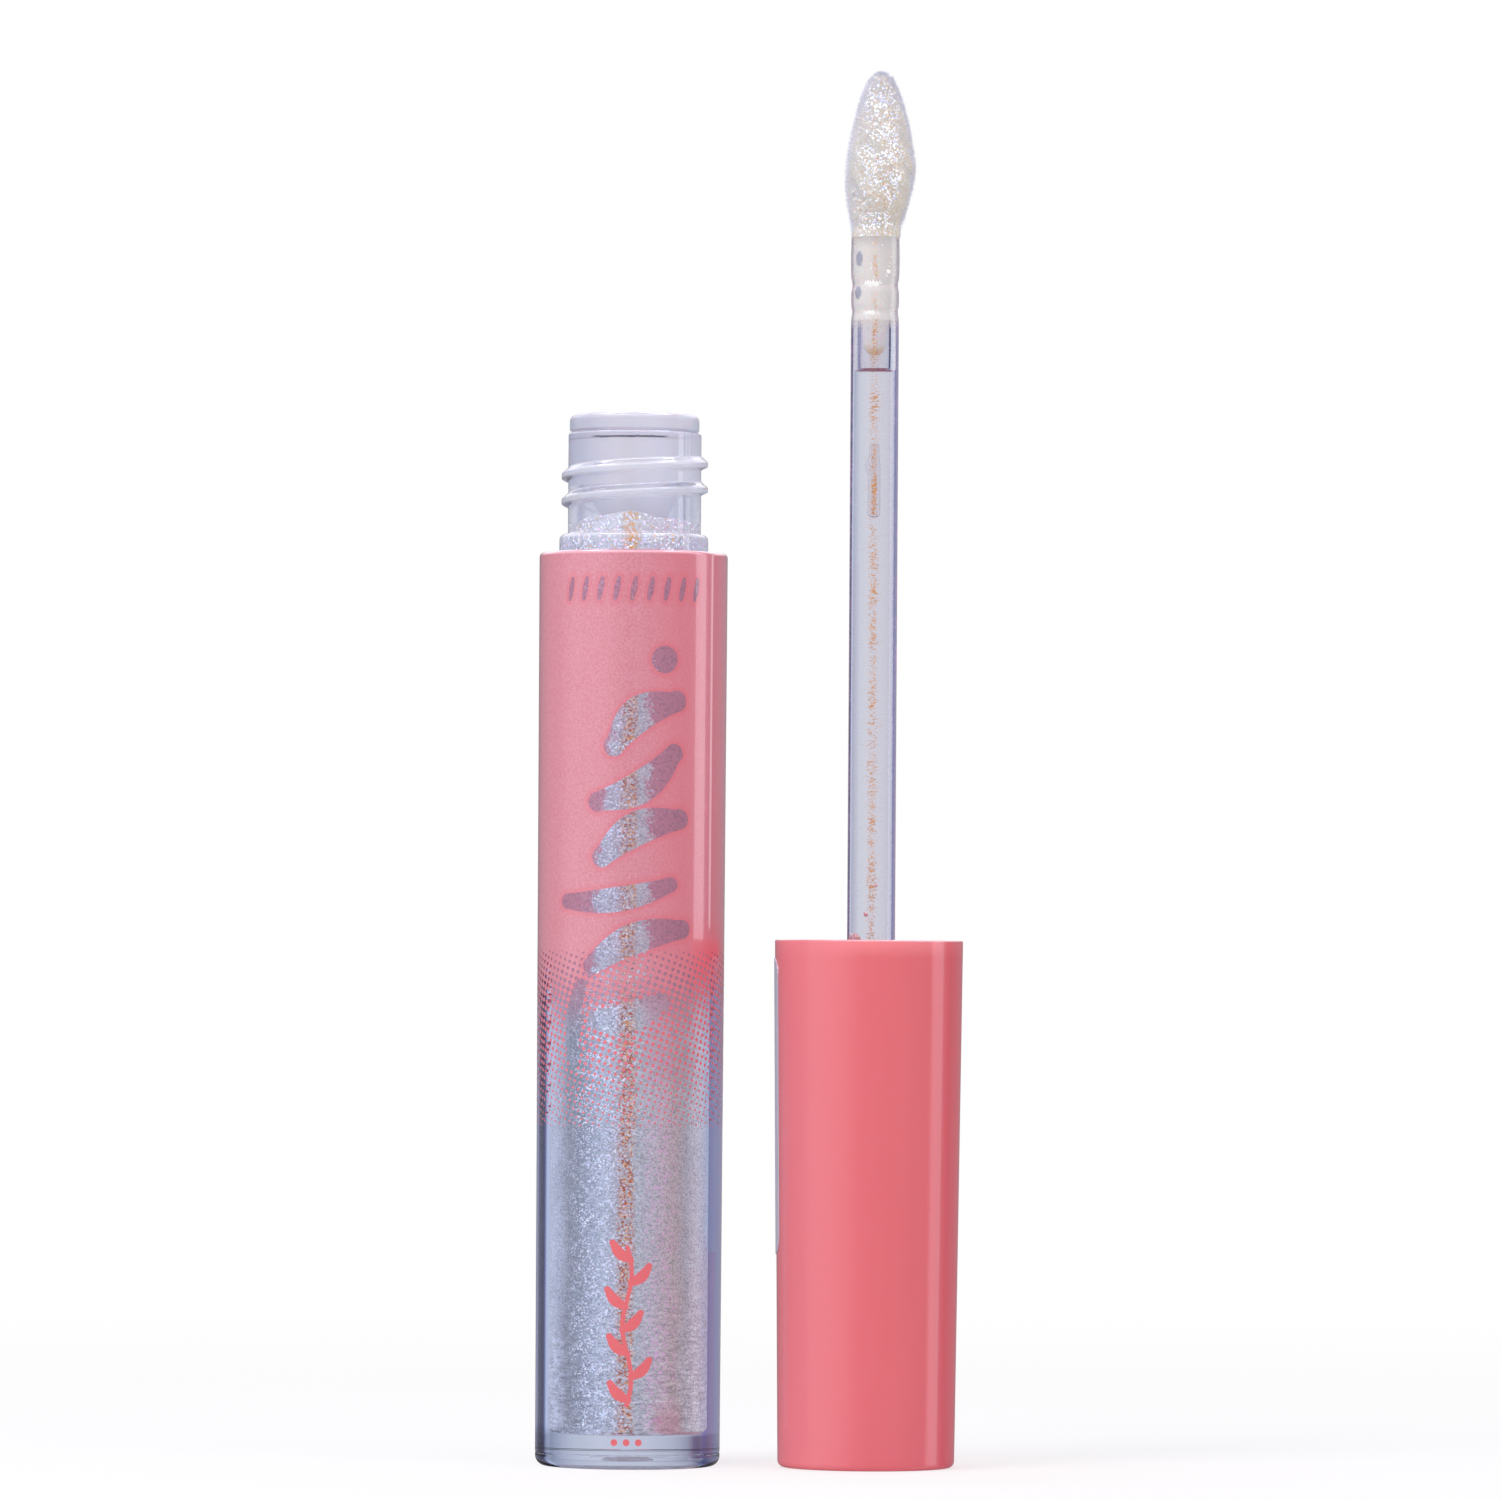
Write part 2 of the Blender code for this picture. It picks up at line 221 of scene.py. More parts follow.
class Graph:
    """A node tree under construction. A value may be a number, a screen colour or another socket."""

    def __init__(self, tree):
        self.tree = tree
        tree.nodes.clear()

    def feed(self, socket, value):
        """Gives a socket its value. Three numbers for a colour are a screen colour, and four are linear."""
        if isinstance(value, bpy.types.NodeSocket):
            self.tree.links.new(value, socket)
        elif socket.type == "RGBA" and len(value) == 3:
            socket.default_value = linear(value)
        else:
            socket.default_value = value

    def node(self, kind, settings=None, inputs=None):
        made = self.tree.nodes.new(kind)
        for key, value in (settings or {}).items():
            setattr(made, key, value)
        for key, value in (inputs or {}).items():
            self.feed(made.inputs[key], value)
        return made

    def maths(self, operation, *values):
        inputs = dict(enumerate(values))
        return self.node("ShaderNodeMath", {"operation": operation}, inputs).outputs[0]

    def times(self, first, second):
        return self.maths("MULTIPLY", first, second)

    def scaled(self, value, factor, offset):
        return self.maths("MULTIPLY_ADD", value, factor, offset)

    def plus(self, first, second):
        return self.maths("ADD", first, second)

    def minus(self, first, second):
        return self.maths("SUBTRACT", first, second)

    def most(self, first, second):
        return self.maths("MAXIMUM", first, second)

    def rest(self, share):
        return self.maths("SUBTRACT", 1.0, share)

    def vector_maths(self, operation, *values, output="Vector"):
        inputs = dict(enumerate(values))
        return self.node("ShaderNodeVectorMath", {"operation": operation}, inputs).outputs[output]

    def parts(self, vector):
        return self.node("ShaderNodeSeparateXYZ", inputs={"Vector": vector}).outputs

    def smooth(self, value, low, high):
        """0 below low and 1 above high, smoothly between them. low may be above high."""
        flip = low > high
        return self.node("ShaderNodeMapRange", {"interpolation_type": "SMOOTHSTEP"}, {
            "Value": value, "From Min": min(low, high), "From Max": max(low, high),
            "To Min": float(flip), "To Max": float(not flip)}).outputs["Result"]

    def band(self, value, low, high, soft):
        """1 between low and high, falling to 0 within soft outside them."""
        return self.times(self.smooth(value, low - soft, low), self.smooth(value, high + soft, high))

    def blend(self, share, first, second, mode="MIX"):
        inputs = {0: share, 6: first, 7: second}
        return self.node("ShaderNodeMix", {"data_type": "RGBA", "blend_type": mode}, inputs).outputs[2]

    def tinted(self, base, mask, share, tint):
        """The base colour with some of a tint over it, where the mask is above 0."""
        return self.blend(self.times(mask, share), base, tint)

    def mix_shaders(self, share, first, second):
        return self.node("ShaderNodeMixShader", inputs={0: share, 1: first, 2: second}).outputs[0]

    def ramp(self, position, stops):
        """A colour, or a grey level, for each position on the way from 0 to 1."""
        made = self.node("ShaderNodeValToRGB", inputs={"Fac": position})
        elements = made.color_ramp.elements
        while len(elements) > 1:
            elements.remove(elements[-1])
        for index, (place, shade) in enumerate(stops):
            element = elements[0] if index == 0 else elements.new(place)
            element.position = place
            element.color = linear(shade) if isinstance(shade, tuple) else (shade, shade, shade, 1.0)
        return made.outputs["Color"]

    def principled(self, **inputs):
        named = {}
        for key, value in inputs.items():
            named[key.replace("_", " ").title().replace("Ior", "IOR")] = value
        return self.node("ShaderNodeBsdfPrincipled", inputs=named).outputs[0]

    def glow(self):
        return self.node("ShaderNodeEmission", inputs={"Color": WHITE, "Strength": 1.0}).outputs[0]

    def see_through(self, tint=WHITE):
        return self.node("ShaderNodeBsdfTransparent", inputs={"Color": tint}).outputs[0]


class Look(Graph):
    """A material's graph. Patterns are set out in the object's frame in mm, so they ride with the piece."""

    def __init__(self, name):
        self.made = bpy.data.materials.new(name)
        self.made.use_nodes = True
        super().__init__(self.made.node_tree)
        place = self.node("ShaderNodeTexCoord").outputs["Object"]
        to_mm = self.node("ShaderNodeVectorMath", {"operation": "SCALE"}, {0: place, "Scale": 1 / MM})
        self.spot = to_mm.outputs["Vector"]
        self.height = self.parts(self.spot)["Z"]
        self.seen = self.node("ShaderNodeNewGeometry").outputs

    def finish(self, surface):
        self.node("ShaderNodeOutputMaterial", inputs={"Surface": surface})
        return self.made

    def finish_clear(self, surface, tint):
        """Lets shadow and diffuse rays straight through a clear piece, so what is inside is lit evenly."""
        rays = self.node("ShaderNodeLightPath").outputs
        either = self.most(rays["Is Shadow Ray"], rays["Is Diffuse Ray"])
        return self.finish(self.mix_shaders(either, surface, self.see_through(tint)))

    def noise(self, scale, detail=2.0, roughness=0.5, stretched=None):
        spot = self.vector_maths("MULTIPLY", self.spot, stretched) if stretched else self.spot
        return self.node("ShaderNodeTexNoise", inputs={
            "Vector": spot, "Scale": scale, "Detail": detail, "Roughness": roughness}).outputs["Fac"]

    def ragged(self, reach, *noise):
        """Noise that goes as far below 0 as above it."""
        return self.scaled(self.noise(*noise), 2 * reach, -reach)

    def flakes(self, scale, share, shift=None):
        """A mask of random flakes, and a random number for each."""
        spot = self.vector_maths("ADD", self.spot, shift) if shift else self.spot
        cell = self.node("ShaderNodeTexVoronoi", inputs={"Vector": spot, "Scale": scale}).outputs["Color"]
        luck = self.parts(cell)
        return self.smooth(luck["X"], 1.0 - share, 1.0 - share * 0.6), luck["Y"]

    def bump(self, height, distance, strength=1.0):
        return self.node("ShaderNodeBump", inputs={
            "Height": height, "Distance": distance * MM, "Strength": strength}).outputs["Normal"]

    def side(self):
        """Where across an upright round surface is looked at: -1 at its left edge, 1 at its right."""
        across = self.vector_maths("CROSS_PRODUCT", self.seen["Normal"], self.seen["Incoming"])
        return self.times(self.parts(across)["Z"], -1.0)

    def facing(self):
        """How square on a surface is looked at: 1 square on, 0 along it."""
        return self.vector_maths("DOT_PRODUCT", self.seen["Normal"], self.seen["Incoming"], output="Value")

    def out_from(self, axis_x=0.0):
        """The distance from an upright axis."""
        spot = self.vector_maths("SUBTRACT", self.spot, (axis_x, 0.0, 0.0)) if axis_x else self.spot
        level = self.vector_maths("MULTIPLY", spot, (1.0, 1.0, 0.0))
        return self.vector_maths("LENGTH", level, output="Value")

    def point_value(self, label):
        """A number kept on the mesh's points."""
        return self.node("ShaderNodeAttribute", {"attribute_name": label}).outputs["Fac"]

    def clear_plastic(self, ior, tint):
        """Clear moulded plastic, not perfectly even."""
        rough = self.times(self.noise(0.6), 0.015)
        return self.principled(base_color=tint, roughness=rough, transmission_weight=1.0, ior=ior)

    def covered(self, shader, mask, share, cover):
        """The shader with some of another over it, where the mask is above 0."""
        return self.mix_shaders(self.times(mask, share), shader, cover)

    def mark(self, x, z, wide, tall, rough):
        """A mask of one ragged spot on the front of an upright surface."""
        at_x, at_y, at_z = (self.parts(self.spot)[axis] for axis in "XYZ")
        across = self.maths("DIVIDE", self.minus(at_x, x), wide)
        up = self.maths("DIVIDE", self.minus(at_z, z), tall)
        gap = self.plus(self.times(across, across), self.times(up, up))
        gap = self.plus(gap, self.ragged(rough, 6.0, 4.0, 0.7))
        return self.times(self.smooth(gap, 1.1, 0.8), self.smooth(at_y, -0.2, -0.4))


# ---------------------------------------------------------------- materials

# How clear plastic tints the light that passes through it
CLEAR_SHADOW = (246, 246, 252)
# The gloss's tint from the left edge to the right: its pearly colour, with painted shade and painted
# reflections worked in
GLOSS_TINT_AND_SHADE = [
    (0.0, (208, 214, 230)), (0.05, (182, 188, 204)), (0.12, (136, 140, 153)), (0.19, (135, 143, 157)),
    (0.27, (160, 168, 185)), (0.34, (175, 184, 199)), (0.42, (178, 177, 188)), (0.47, (178, 170, 175)),
    (0.54, (179, 181, 187)), (0.64, (188, 186, 190)), (0.72, (195, 184, 185)), (0.79, (193, 184, 180)),
    (0.86, (194, 197, 200)), (0.94, (226, 244, 248)), (1.0, (206, 232, 252)),
]


def bottle_plastic():
    """The bottle's clear plastic, hazy in the neck, with painted shade at the right of its thick base."""
    look = Look("clear_bottle_seen")
    side, height = look.side(), look.height
    # Painted shade: the thick base shows dark at its right, and more faintly at its left edge
    base_shade = look.ramp(side, [
        (0.2, 0.0), (0.3, 0.1), (0.47, 0.24), (0.56, 0.4), (0.65, 0.6),
        (0.72, 0.95), (0.77, 0.95), (0.83, 0.75), (0.9, 0.55), (1.0, 0.3)])
    base_shade = look.most(base_shade, look.times(look.smooth(side, -0.78, -0.9), 0.5))
    base_shade = look.times(base_shade, look.smooth(height, FLOOR_Z + 0.3, FLOOR_Z - 0.1))
    tint = look.blend(base_shade, (227, 233, 245), (60, 62, 96))
    in_neck = look.smooth(height, SHOULDER_Z + 0.2, SHOULDER_Z + BEAD_H + 0.6)
    tint = look.tinted(tint, in_neck, 0.8, (247, 249, 253))
    haze = look.principled(base_color=(224, 226, 232), roughness=0.3)
    ridge = look.smooth(look.out_from(BOTTLE_X), NECK_R + 0.15, THREAD_R)
    cloudy = look.times(in_neck, look.scaled(ridge, 0.2, 0.17))
    shader = look.mix_shaders(cloudy, look.clear_plastic(1.52, tint), haze)
    # Painted shade: the gap at the wiper's seat shows as a thin dark line just under the neck's top
    seat_z = look.plus(height, look.ragged(0.1, 2.0, 3.0))
    seat_shade = look.band(seat_z, NECK_TOP - 0.57, NECK_TOP - 0.46, 0.03)
    seat_shade = look.times(seat_shade, look.band(side, -0.55, 0.4, 0.15))
    line = look.principled(base_color=(70, 64, 84), roughness=0.3)
    return look.finish_clear(look.covered(shader, seat_shade, 0.85, line), CLEAR_SHADOW)


def wand_plastic():
    """Clear, with a film of pearl flakes that turn gold square on, and gloss smeared on its end."""
    look = Look("clear_wand_seen")
    height, facing = look.height, look.facing()
    shader = look.clear_plastic(1.47, (247, 245, 246))
    ragged_z = look.plus(height, look.ragged(0.8, 1.1, 4.0, 0.65))
    smeared = look.smooth(ragged_z, WAND_END - 7.6, WAND_END - 6.4)
    wet, _ = look.flakes(11.0, 0.12)
    crowd = look.smooth(look.noise(0.9, 4.0, 0.65), 0.5, 0.62)
    shade = look.blend(look.noise(0.8, 3.0), (192, 190, 192), (212, 205, 196))
    shade = look.tinted(shade, wet, crowd, WHITE)
    smear = look.principled(base_color=shade, roughness=0.25, normal=look.bump(look.noise(1.8, 3.0), 0.05))
    shader = look.covered(shader, smeared, 0.42, smear)
    # The film's flakes crowd together in patches
    patch = look.smooth(look.noise(0.6, 5.0, 0.7, (1.0, 1.0, 0.8)), 0.4, 0.6)
    shown = look.ramp(facing, [(0.25, 0.7), (0.5, 0.14), (0.9, 0.06), (0.986, 0.1), (0.998, 0.9)])
    film, _ = look.flakes(12.0, 0.34)
    thin = look.times(film, look.times(shown, look.scaled(patch, 0.85, 0.15)))
    glint = look.ramp(facing, [
        (0.3, (226, 150, 214)), (0.6, (226, 232, 255)), (0.93, (190, 188, 204)),
        (0.975, (206, 150, 84)), (1.0, (202, 132, 54))])
    shine = look.principled(base_color=glint, roughness=0.35)
    shader = look.covered(shader, thin, look.smooth(height, CAP_H - 3.0, CAP_H), shine)
    # A red glint lies on the floor of the stem's bore
    level = look.smooth(look.maths("ABSOLUTE", look.parts(look.seen["Normal"])["Z"]), 0.6, 0.9)
    floor_z = WAND_END - STEM_BORE_DEPTH
    on_floor = look.times(level, look.band(height, floor_z - 0.05, floor_z + 0.05, 0.05))
    shader = look.covered(shader, on_floor, 0.8, look.principled(base_color=(150, 62, 84), roughness=0.4))
    # Painted dark reflections where bare plastic shows through the smear beside the stem, and painted
    # glints that glow where the crimps catch the light
    bare = look.principled(base_color=(134, 136, 158), roughness=0.2)
    for right, down, wide, tall, rough, share, cover in (
        (-1.25, 2.0, 0.26, 0.6, 1.4, 0.8, bare),
        (-1.32, 4.6, 0.24, 0.5, 1.4, 0.8, bare),
        (-0.2, 3.85, 0.6, 0.22, 4.0, 0.9, look.glow()),
        (-0.35, 6.15, 0.56, 0.16, 4.0, 0.9, look.glow()),
        (1.0, 2.95, 0.16, 0.14, 4.0, 0.9, look.glow()),
    ):
        spot = look.mark(ROD_X + right, WAND_END - down, wide, tall, rough)
        shader = look.covered(shader, spot, share, cover)
    return look.finish_clear(shader, CLEAR_SHADOW)


def gloss_base(look, side, drift):
    """Tint and painted shade for each angle the gloss is seen at, stirred streaks and an uneven grain."""
    base = look.ramp(look.scaled(look.plus(side, drift), 0.5, 0.5), GLOSS_TINT_AND_SHADE)
    streak = look.minus(look.noise(1.3, 6.0, 0.7, (0.8, 0.8, 3.4)), 0.5)
    # The streaks are stronger near the floor
    stirred = look.scaled(look.smooth(look.height, 16.0, 4.0), 1.3, 0.35)
    streak = look.scaled(look.times(streak, stirred), 1.4, 1.0)
    streak = look.times(streak, look.scaled(look.noise(7.5, 2.0, 0.8), 1.5, 0.25))
    grey = look.node("ShaderNodeCombineColor", inputs=dict.fromkeys(("Red", "Green", "Blue"), streak))
    return look.blend(1.0, base, grey.outputs[0], "MULTIPLY")


def coat_shade(look, side, in_neck, luck):
    """Where the coat's shade falls on the gloss inside it: all over, but for a ragged bright middle."""
    height = look.height
    coated = look.times(look.smooth(height, 32.0, 39.0), look.rest(in_neck))
    right_end = look.plus(side, look.ragged(0.2, 1.2, 4.0, 0.65))
    left_end = look.scaled(look.smooth(height, 58.0, 44.0), 0.2, right_end)
    middle = look.times(look.smooth(left_end, -0.38, -0.16), look.smooth(right_end, 0.36, 0.08))
    middle = look.times(middle, look.smooth(height, 65.5, 61.0))
    middle = look.times(middle, look.scaled(look.band(height, 35.6, 37.0, 0.9), -0.7, 1.0))
    speckled = look.smooth(look.minus(look.times(middle, 1.5), luck), 0.0, 0.5)
    return look.times(coated, look.scaled(speckled, -0.72, 0.92))


def pearl_gloss():
    """Pearly gloss whose tint, partly painted shade, turns with the angle: blue-white, a gold line, rose,
    beige.
    """
    look = Look("pearl_gloss_seen")
    side, height = look.side(), look.height
    drift = look.ragged(0.07, 0.35, 3.0)
    fine, luck = look.flakes(9.5, 0.34)
    in_neck = look.smooth(height, 69.4, 70.2)
    shaded = coat_shade(look, side, in_neck, luck)
    open_view = look.rest(shaded)
    shade = look.tinted(gloss_base(look, side, drift), in_neck, 0.5, (216, 212, 218))
    # Painted shade where the coat shades the gloss inside it
    shade = look.tinted(shade, shaded, 0.95, (188, 116, 134))
    # Fine flakes shine in patches, most on the side towards the light
    lit = look.most(look.scaled(look.band(side, -0.5, -0.12, 0.35), 0.8, 0.14), in_neck)
    lit = look.times(lit, look.scaled(open_view, 0.9, 0.1))
    patch = look.smooth(look.noise(0.7, 4.0, 0.65, (1.0, 1.0, 1.6)), 0.34, 0.62)
    spark = look.times(lit, look.scaled(patch, 0.7, 0.3))
    shade = look.tinted(shade, fine, spark, look.ramp(luck, [
        (0.0, (240, 248, 255)), (0.5, (214, 228, 255)), (0.8, (236, 220, 252)), (1.0, WHITE)]))
    dark, _ = look.flakes(8.5, 0.3, (3.1, 1.7, 0.4))
    shade = look.tinted(shade, dark, 0.3, (90, 92, 120))
    # A line of gold flakes down the middle
    gold, gold_luck = look.flakes(8.0, 0.55, (9.0, 4.0, 2.0))
    line = look.band(look.plus(side, look.times(drift, 0.4)), -0.09, 0.01, 0.1)
    line = look.times(line, look.scaled(open_view, 0.7, 0.3))
    line = look.times(line, look.smooth(height, FLOOR_Z, FLOOR_Z + 0.2))
    gold_tint = look.ramp(gold_luck, [
        (0.0, (150, 92, 80)), (0.4, (180, 96, 80)), (0.7, (206, 146, 92)), (1.0, (226, 196, 180))])
    gold_tint = look.tinted(gold_tint, in_neck, 0.8, (222, 158, 70))
    shade = look.tinted(shade, gold, line, gold_tint)
    # Rose flakes and a blush to the right of it
    pink, _ = look.flakes(8.5, 0.25, (1.0, 7.0, 5.0))
    rose = look.times(look.band(side, 0.3, 0.5, 0.2), open_view)
    rose = look.most(rose, look.times(in_neck, look.smooth(side, 0.3, 0.6)))
    shade = look.tinted(shade, pink, look.times(rose, 0.5), (240, 176, 226))
    blush = look.times(look.band(side, 0.3, 0.75, 0.2), look.band(height, 30.5, 37.0, 2.5))
    shade = look.tinted(shade, blush, 0.22, (184, 124, 142))
    warm = look.times(look.band(side, 0.4, 0.6, 0.14), look.smooth(height, 5.6, 3.6))
    shade = look.tinted(shade, warm, 0.4, (196, 128, 142))
    # Bigger single flakes catch the light above the coat
    big, big_luck = look.flakes(8.5, 0.15)
    big = look.times(big, in_neck)
    big_tint = look.ramp(big_luck, [
        (0.0, WHITE), (0.35, (204, 222, 255)), (0.55, (238, 190, 240)), (0.75, WHITE),
        (0.9, (214, 160, 70))])
    return look.finish(look.principled(
        base_color=look.blend(big, shade, big_tint), roughness=0.5, specular_ior_level=0.2,
        emission_color=big_tint, emission_strength=look.times(big, 0.25)))


def milky_plastic():
    """Natural polyethylene: milky, a little see-through, cooler and deeper on its shaded side."""
    look = Look("milky_wiper_seen")
    base = look.blend(look.noise(0.8, 3.0), (226, 222, 216), (222, 220, 220))
    side = look.side()
    # Painted shade on the left side and painted light on the right
    base = look.blend(look.smooth(side, -0.1, -0.95), base, (184, 186, 200))
    base = look.tinted(base, look.smooth(side, -0.2, 0.5), 0.8, (250, 250, 255))
    # Outside the bottle nothing tints it
    bare = look.smooth(look.height, NECK_TOP - 0.1, NECK_TOP + 0.1)
    base = look.tinted(base, bare, 0.6, (206, 209, 221))
    milk = look.principled(
        base_color=base, roughness=0.3, subsurface_weight=0.4, subsurface_scale=0.0015, ior=1.5,
        normal=look.bump(look.noise(4.0, 2.0), 0.005))
    clear = look.principled(base_color=(236, 237, 246), roughness=0.12, transmission_weight=1.0, ior=1.5)
    return look.finish_clear(look.mix_shaders(0.5, milk, clear), (225, 225, 238))


def coral_coat():
    """A pearly satin coat under clear lacquer, with metallic grain, painted shade at its right and a
    painted red glow along its cut edges.
    """
    look = Look("coral_coat_seen")
    side, height = look.side(), look.height
    grain = look.noise(6.0, 3.0, 0.75)
    base = look.blend(look.noise(0.35, 2.0), (197, 117, 131), (201, 125, 139))
    base = look.blend(look.smooth(grain, 0.3, 0.72), base, (213, 143, 157))
    # Painted shade: redder towards the right side
    base = look.tinted(base, look.smooth(side, 0.0, 0.6), 0.6, (214, 112, 126))
    # A painted red glow, of shade and inner reflection, along the edges of the windows
    base = look.tinted(base, look.smooth(look.point_value("window_gap"), 0.6, 0.0), 0.36, (214, 88, 104))
    # A painted highlight: a fine bright line just beyond the broad highlight
    gleam = look.times(look.band(side, 0.832, 0.845, 0.007), look.smooth(height, 41.0, 41.6))
    base = look.tinted(base, gleam, 0.7, (250, 196, 204))
    # The ink is a purer red where it is screened; painted shade makes it redder at the right, near the top
    # of the holes
    screened = look.smooth(height, HOLES_TOP - 1.5, HOLES_TOP - 6.5)
    right_shade_red = look.times(look.smooth(side, 0.5, 0.9), look.smooth(height, HOLES_TOP + 3.0, HOLES_TOP - 1.0))
    screen_and_shade_red = look.most(look.times(screened, 0.6), look.times(right_shade_red, 0.8))
    outside = look.principled(
        base_color=look.blend(screen_and_shade_red, base, (224, 92, 104)), roughness=0.3, specular_ior_level=0.5,
        coat_weight=1.0, coat_roughness=0.03, normal=look.bump(grain, 0.014, 0.8))
    inside = look.principled(base_color=(206, 96, 112), roughness=0.5)
    return look.finish(look.mix_shaders(look.seen["Backfacing"], outside, inside))


def coral_print():
    """Screen-printed coral ink."""
    look = Look("coral_print_seen")
    grain = look.noise(14.0, 2.0)
    base = look.blend(grain, (210, 88, 96), (226, 112, 118))
    return look.finish(look.principled(base_color=base, roughness=0.42, normal=look.bump(grain, 0.006)))


def coral_plastic(name, gloss=0.12):
    """Glossy moulded plastic with faint flow marks."""
    look = Look(name)
    side, height = look.side(), look.height
    base = look.blend(look.noise(0.5, 3.0, 0.5, (1.0, 1.0, 0.12)), (216, 104, 112), (221, 111, 119))
    # Painted light where light comes through the thin rim, and a painted highlight at its lip
    for mask, share, tint in (
        (look.smooth(height, CAP_H - 1.6, CAP_H), 0.7, (240, 140, 146)),
        (look.smooth(height, CAP_H - 0.2, CAP_H - 0.05), 0.5, (240, 206, 214)),
        # A little deeper towards the closed end
        (look.smooth(height, 8.0, 0.0), 0.25, (214, 108, 122)),
        # Painted light on the left side
        (look.smooth(side, 0.0, -0.6), 0.7, (226, 124, 132)),
        # Painted shade on the right side
        (look.smooth(side, 0.7, 0.84), 0.6, (200, 86, 98)),
    ):
        base = look.tinted(base, mask, share, tint)
    fine = look.noise(3.0, 4.0)
    return look.finish(look.principled(
        base_color=base, roughness=look.scaled(fine, 0.06, gloss),
        subsurface_weight=0.12, subsurface_scale=0.001,
        # A dip in the specular level at the right paints a dark gap beside the highlight
        specular_ior_level=look.scaled(look.band(side, 0.803, 0.86, 0.008), -0.3, 0.36),
        normal=look.bump(fine, 0.004)))


def silver_film():
    """Blank metallised label film: brushed along its length, with a faint rainbow sheen."""
    look = Look("silver_film_seen")
    brushed = look.noise(1.6, 4.0, 0.5, (1.0, 1.0, 14.0))
    sheen = look.ramp(look.noise(0.18, 1.0), [
        (0.3, (214, 214, 228)), (0.5, (228, 220, 232)), (0.7, (216, 224, 234))])
    base = look.tinted(sheen, brushed, 0.35, (186, 186, 204))
    return look.finish(look.principled(
        base_color=base, metallic=0.35, roughness=0.3, normal=look.bump(brushed, 0.006)))


def stem_plastic():
    """The stem's white plastic, stained by old gloss at the end of its plug."""
    look = Look("tip_core_seen")
    base = look.blend(look.noise(1.4, 3.0), (216, 213, 208), (228, 226, 220))
    base = look.blend(look.smooth(look.height, WAND_END - 8.4, WAND_END - 9.2), base, (206, 186, 160))
    shader = look.principled(base_color=base, roughness=0.45, subsurface_weight=0.5, subsurface_scale=0.001)
    return look.finish_clear(shader, (230, 228, 222))


def wet_flock():
    """The tip's soaked fur: warm in the middle, cool at its edges, crowded with flakes that carry painted
    glints.
    """
    look = Look("wet_flock_seen")
    facing = look.facing()
    warm = look.ramp(look.scaled(look.side(), 0.5, 0.5), [
        (0.0, (192, 191, 196)), (0.2, (196, 190, 182)), (0.45, (200, 193, 182)),
        (0.75, (206, 191, 166)), (0.9, (208, 197, 176)), (1.0, (214, 212, 214))])
    clump = look.noise(2.6, 5.0, 0.65)
    warm = look.blend(look.smooth(clump, 0.35, 0.7), warm, (206, 199, 188))
    base = look.blend(look.smooth(facing, 0.5, 0.1), warm, (206, 206, 217))
    # The flakes crowd in clusters, and round the nose; where the tip faces the camera they carry painted
    # glints that glow
    crown = look.band(look.height, TIP_TOP - 2.8, TIP_TOP - 1.2, 0.6)
    cluster = look.most(look.smooth(look.noise(0.75, 4.0, 0.65), 0.38, 0.56), crown)
    centre = look.most(look.smooth(facing, 0.45, 0.92), look.times(crown, look.smooth(facing, 0.3, 0.7)))
    fine, luck = look.flakes(9.0, 0.42)
    spark = look.times(fine, look.times(look.scaled(cluster, 0.85, 0.15), centre))
    lit = look.ramp(luck, [(0.0, WHITE), (0.45, (240, 246, 255)), (1.0, (196, 210, 255))])
    base = look.blend(spark, base, lit)
    gold, _ = look.flakes(9.0, 0.05, (5.0, 2.0, 8.0))
    base = look.tinted(base, gold, centre, (206, 150, 96))
    return look.finish(look.principled(
        base_color=base, roughness=0.4, subsurface_weight=0.3, subsurface_scale=0.001,
        emission_color=lit, emission_strength=look.times(spark, 0.36), normal=look.bump(clump, 0.12)))


def fur_fibre():
    """One fibre of the flock: pale, and thin enough to see through."""
    look = Look("fur_fibre_seen")
    base = look.blend(look.noise(6.0), (214, 215, 230), (240, 240, 248))
    fibre = look.principled(base_color=base, roughness=0.5)
    return look.finish(look.mix_shaders(0.45, fibre, look.see_through()))


def wet_drop():
    """A thick drop of gloss, rosy all over: a painted reflection of the coral rim near it."""
    look = Look("gloss_drop_seen")
    fine, luck = look.flakes(7.0, 0.3)
    base = look.blend(fine, (226, 170, 180), look.ramp(luck, [
        (0.0, (240, 220, 244)), (0.6, (222, 150, 120)), (1.0, (230, 236, 255))]))
    return look.finish(look.principled(base_color=base, roughness=0.12, transmission_weight=0.35, ior=1.46))


# ---------------------------------------------------------------- the bottle

def thread_rise(angle, height, phase_z, first, last):
    """0 to 1 across the section of a right-hand helical ridge, with run-out ends."""
    half_crest, under_slope, upper_slope = 0.13, 0.32, 0.6
    sag = 0.06
    fade_turns = 0.16
    turn = angle / math.tau
    nearest = round((height - phase_z) / THREAD_PITCH - turn) + turn
    best = 0.0
    for candidate in (nearest - 1, nearest, nearest + 1):
        if not first <= candidate <= last:
            continue
        off = height - (phase_z + THREAD_PITCH * candidate) + sag
        slope = upper_slope if off > 0 else under_slope
        share = max(0.0, 1.0 - max(0.0, abs(off) - half_crest) / slope)
        rounded = share * share * (3 - 2 * share)
        run_out = min(1.0, (candidate - first) / fade_turns, (last - candidate) / fade_turns)
        best = max(best, rounded * math.sin(math.pi / 2 * run_out))
    return best


def mould_step(angle):
    """The two halves of the mould meet a hair out of line on the neck."""
    parting = math.radians(-36)
    return 0.08 if math.sin(angle - parting) > 0 else 0.0


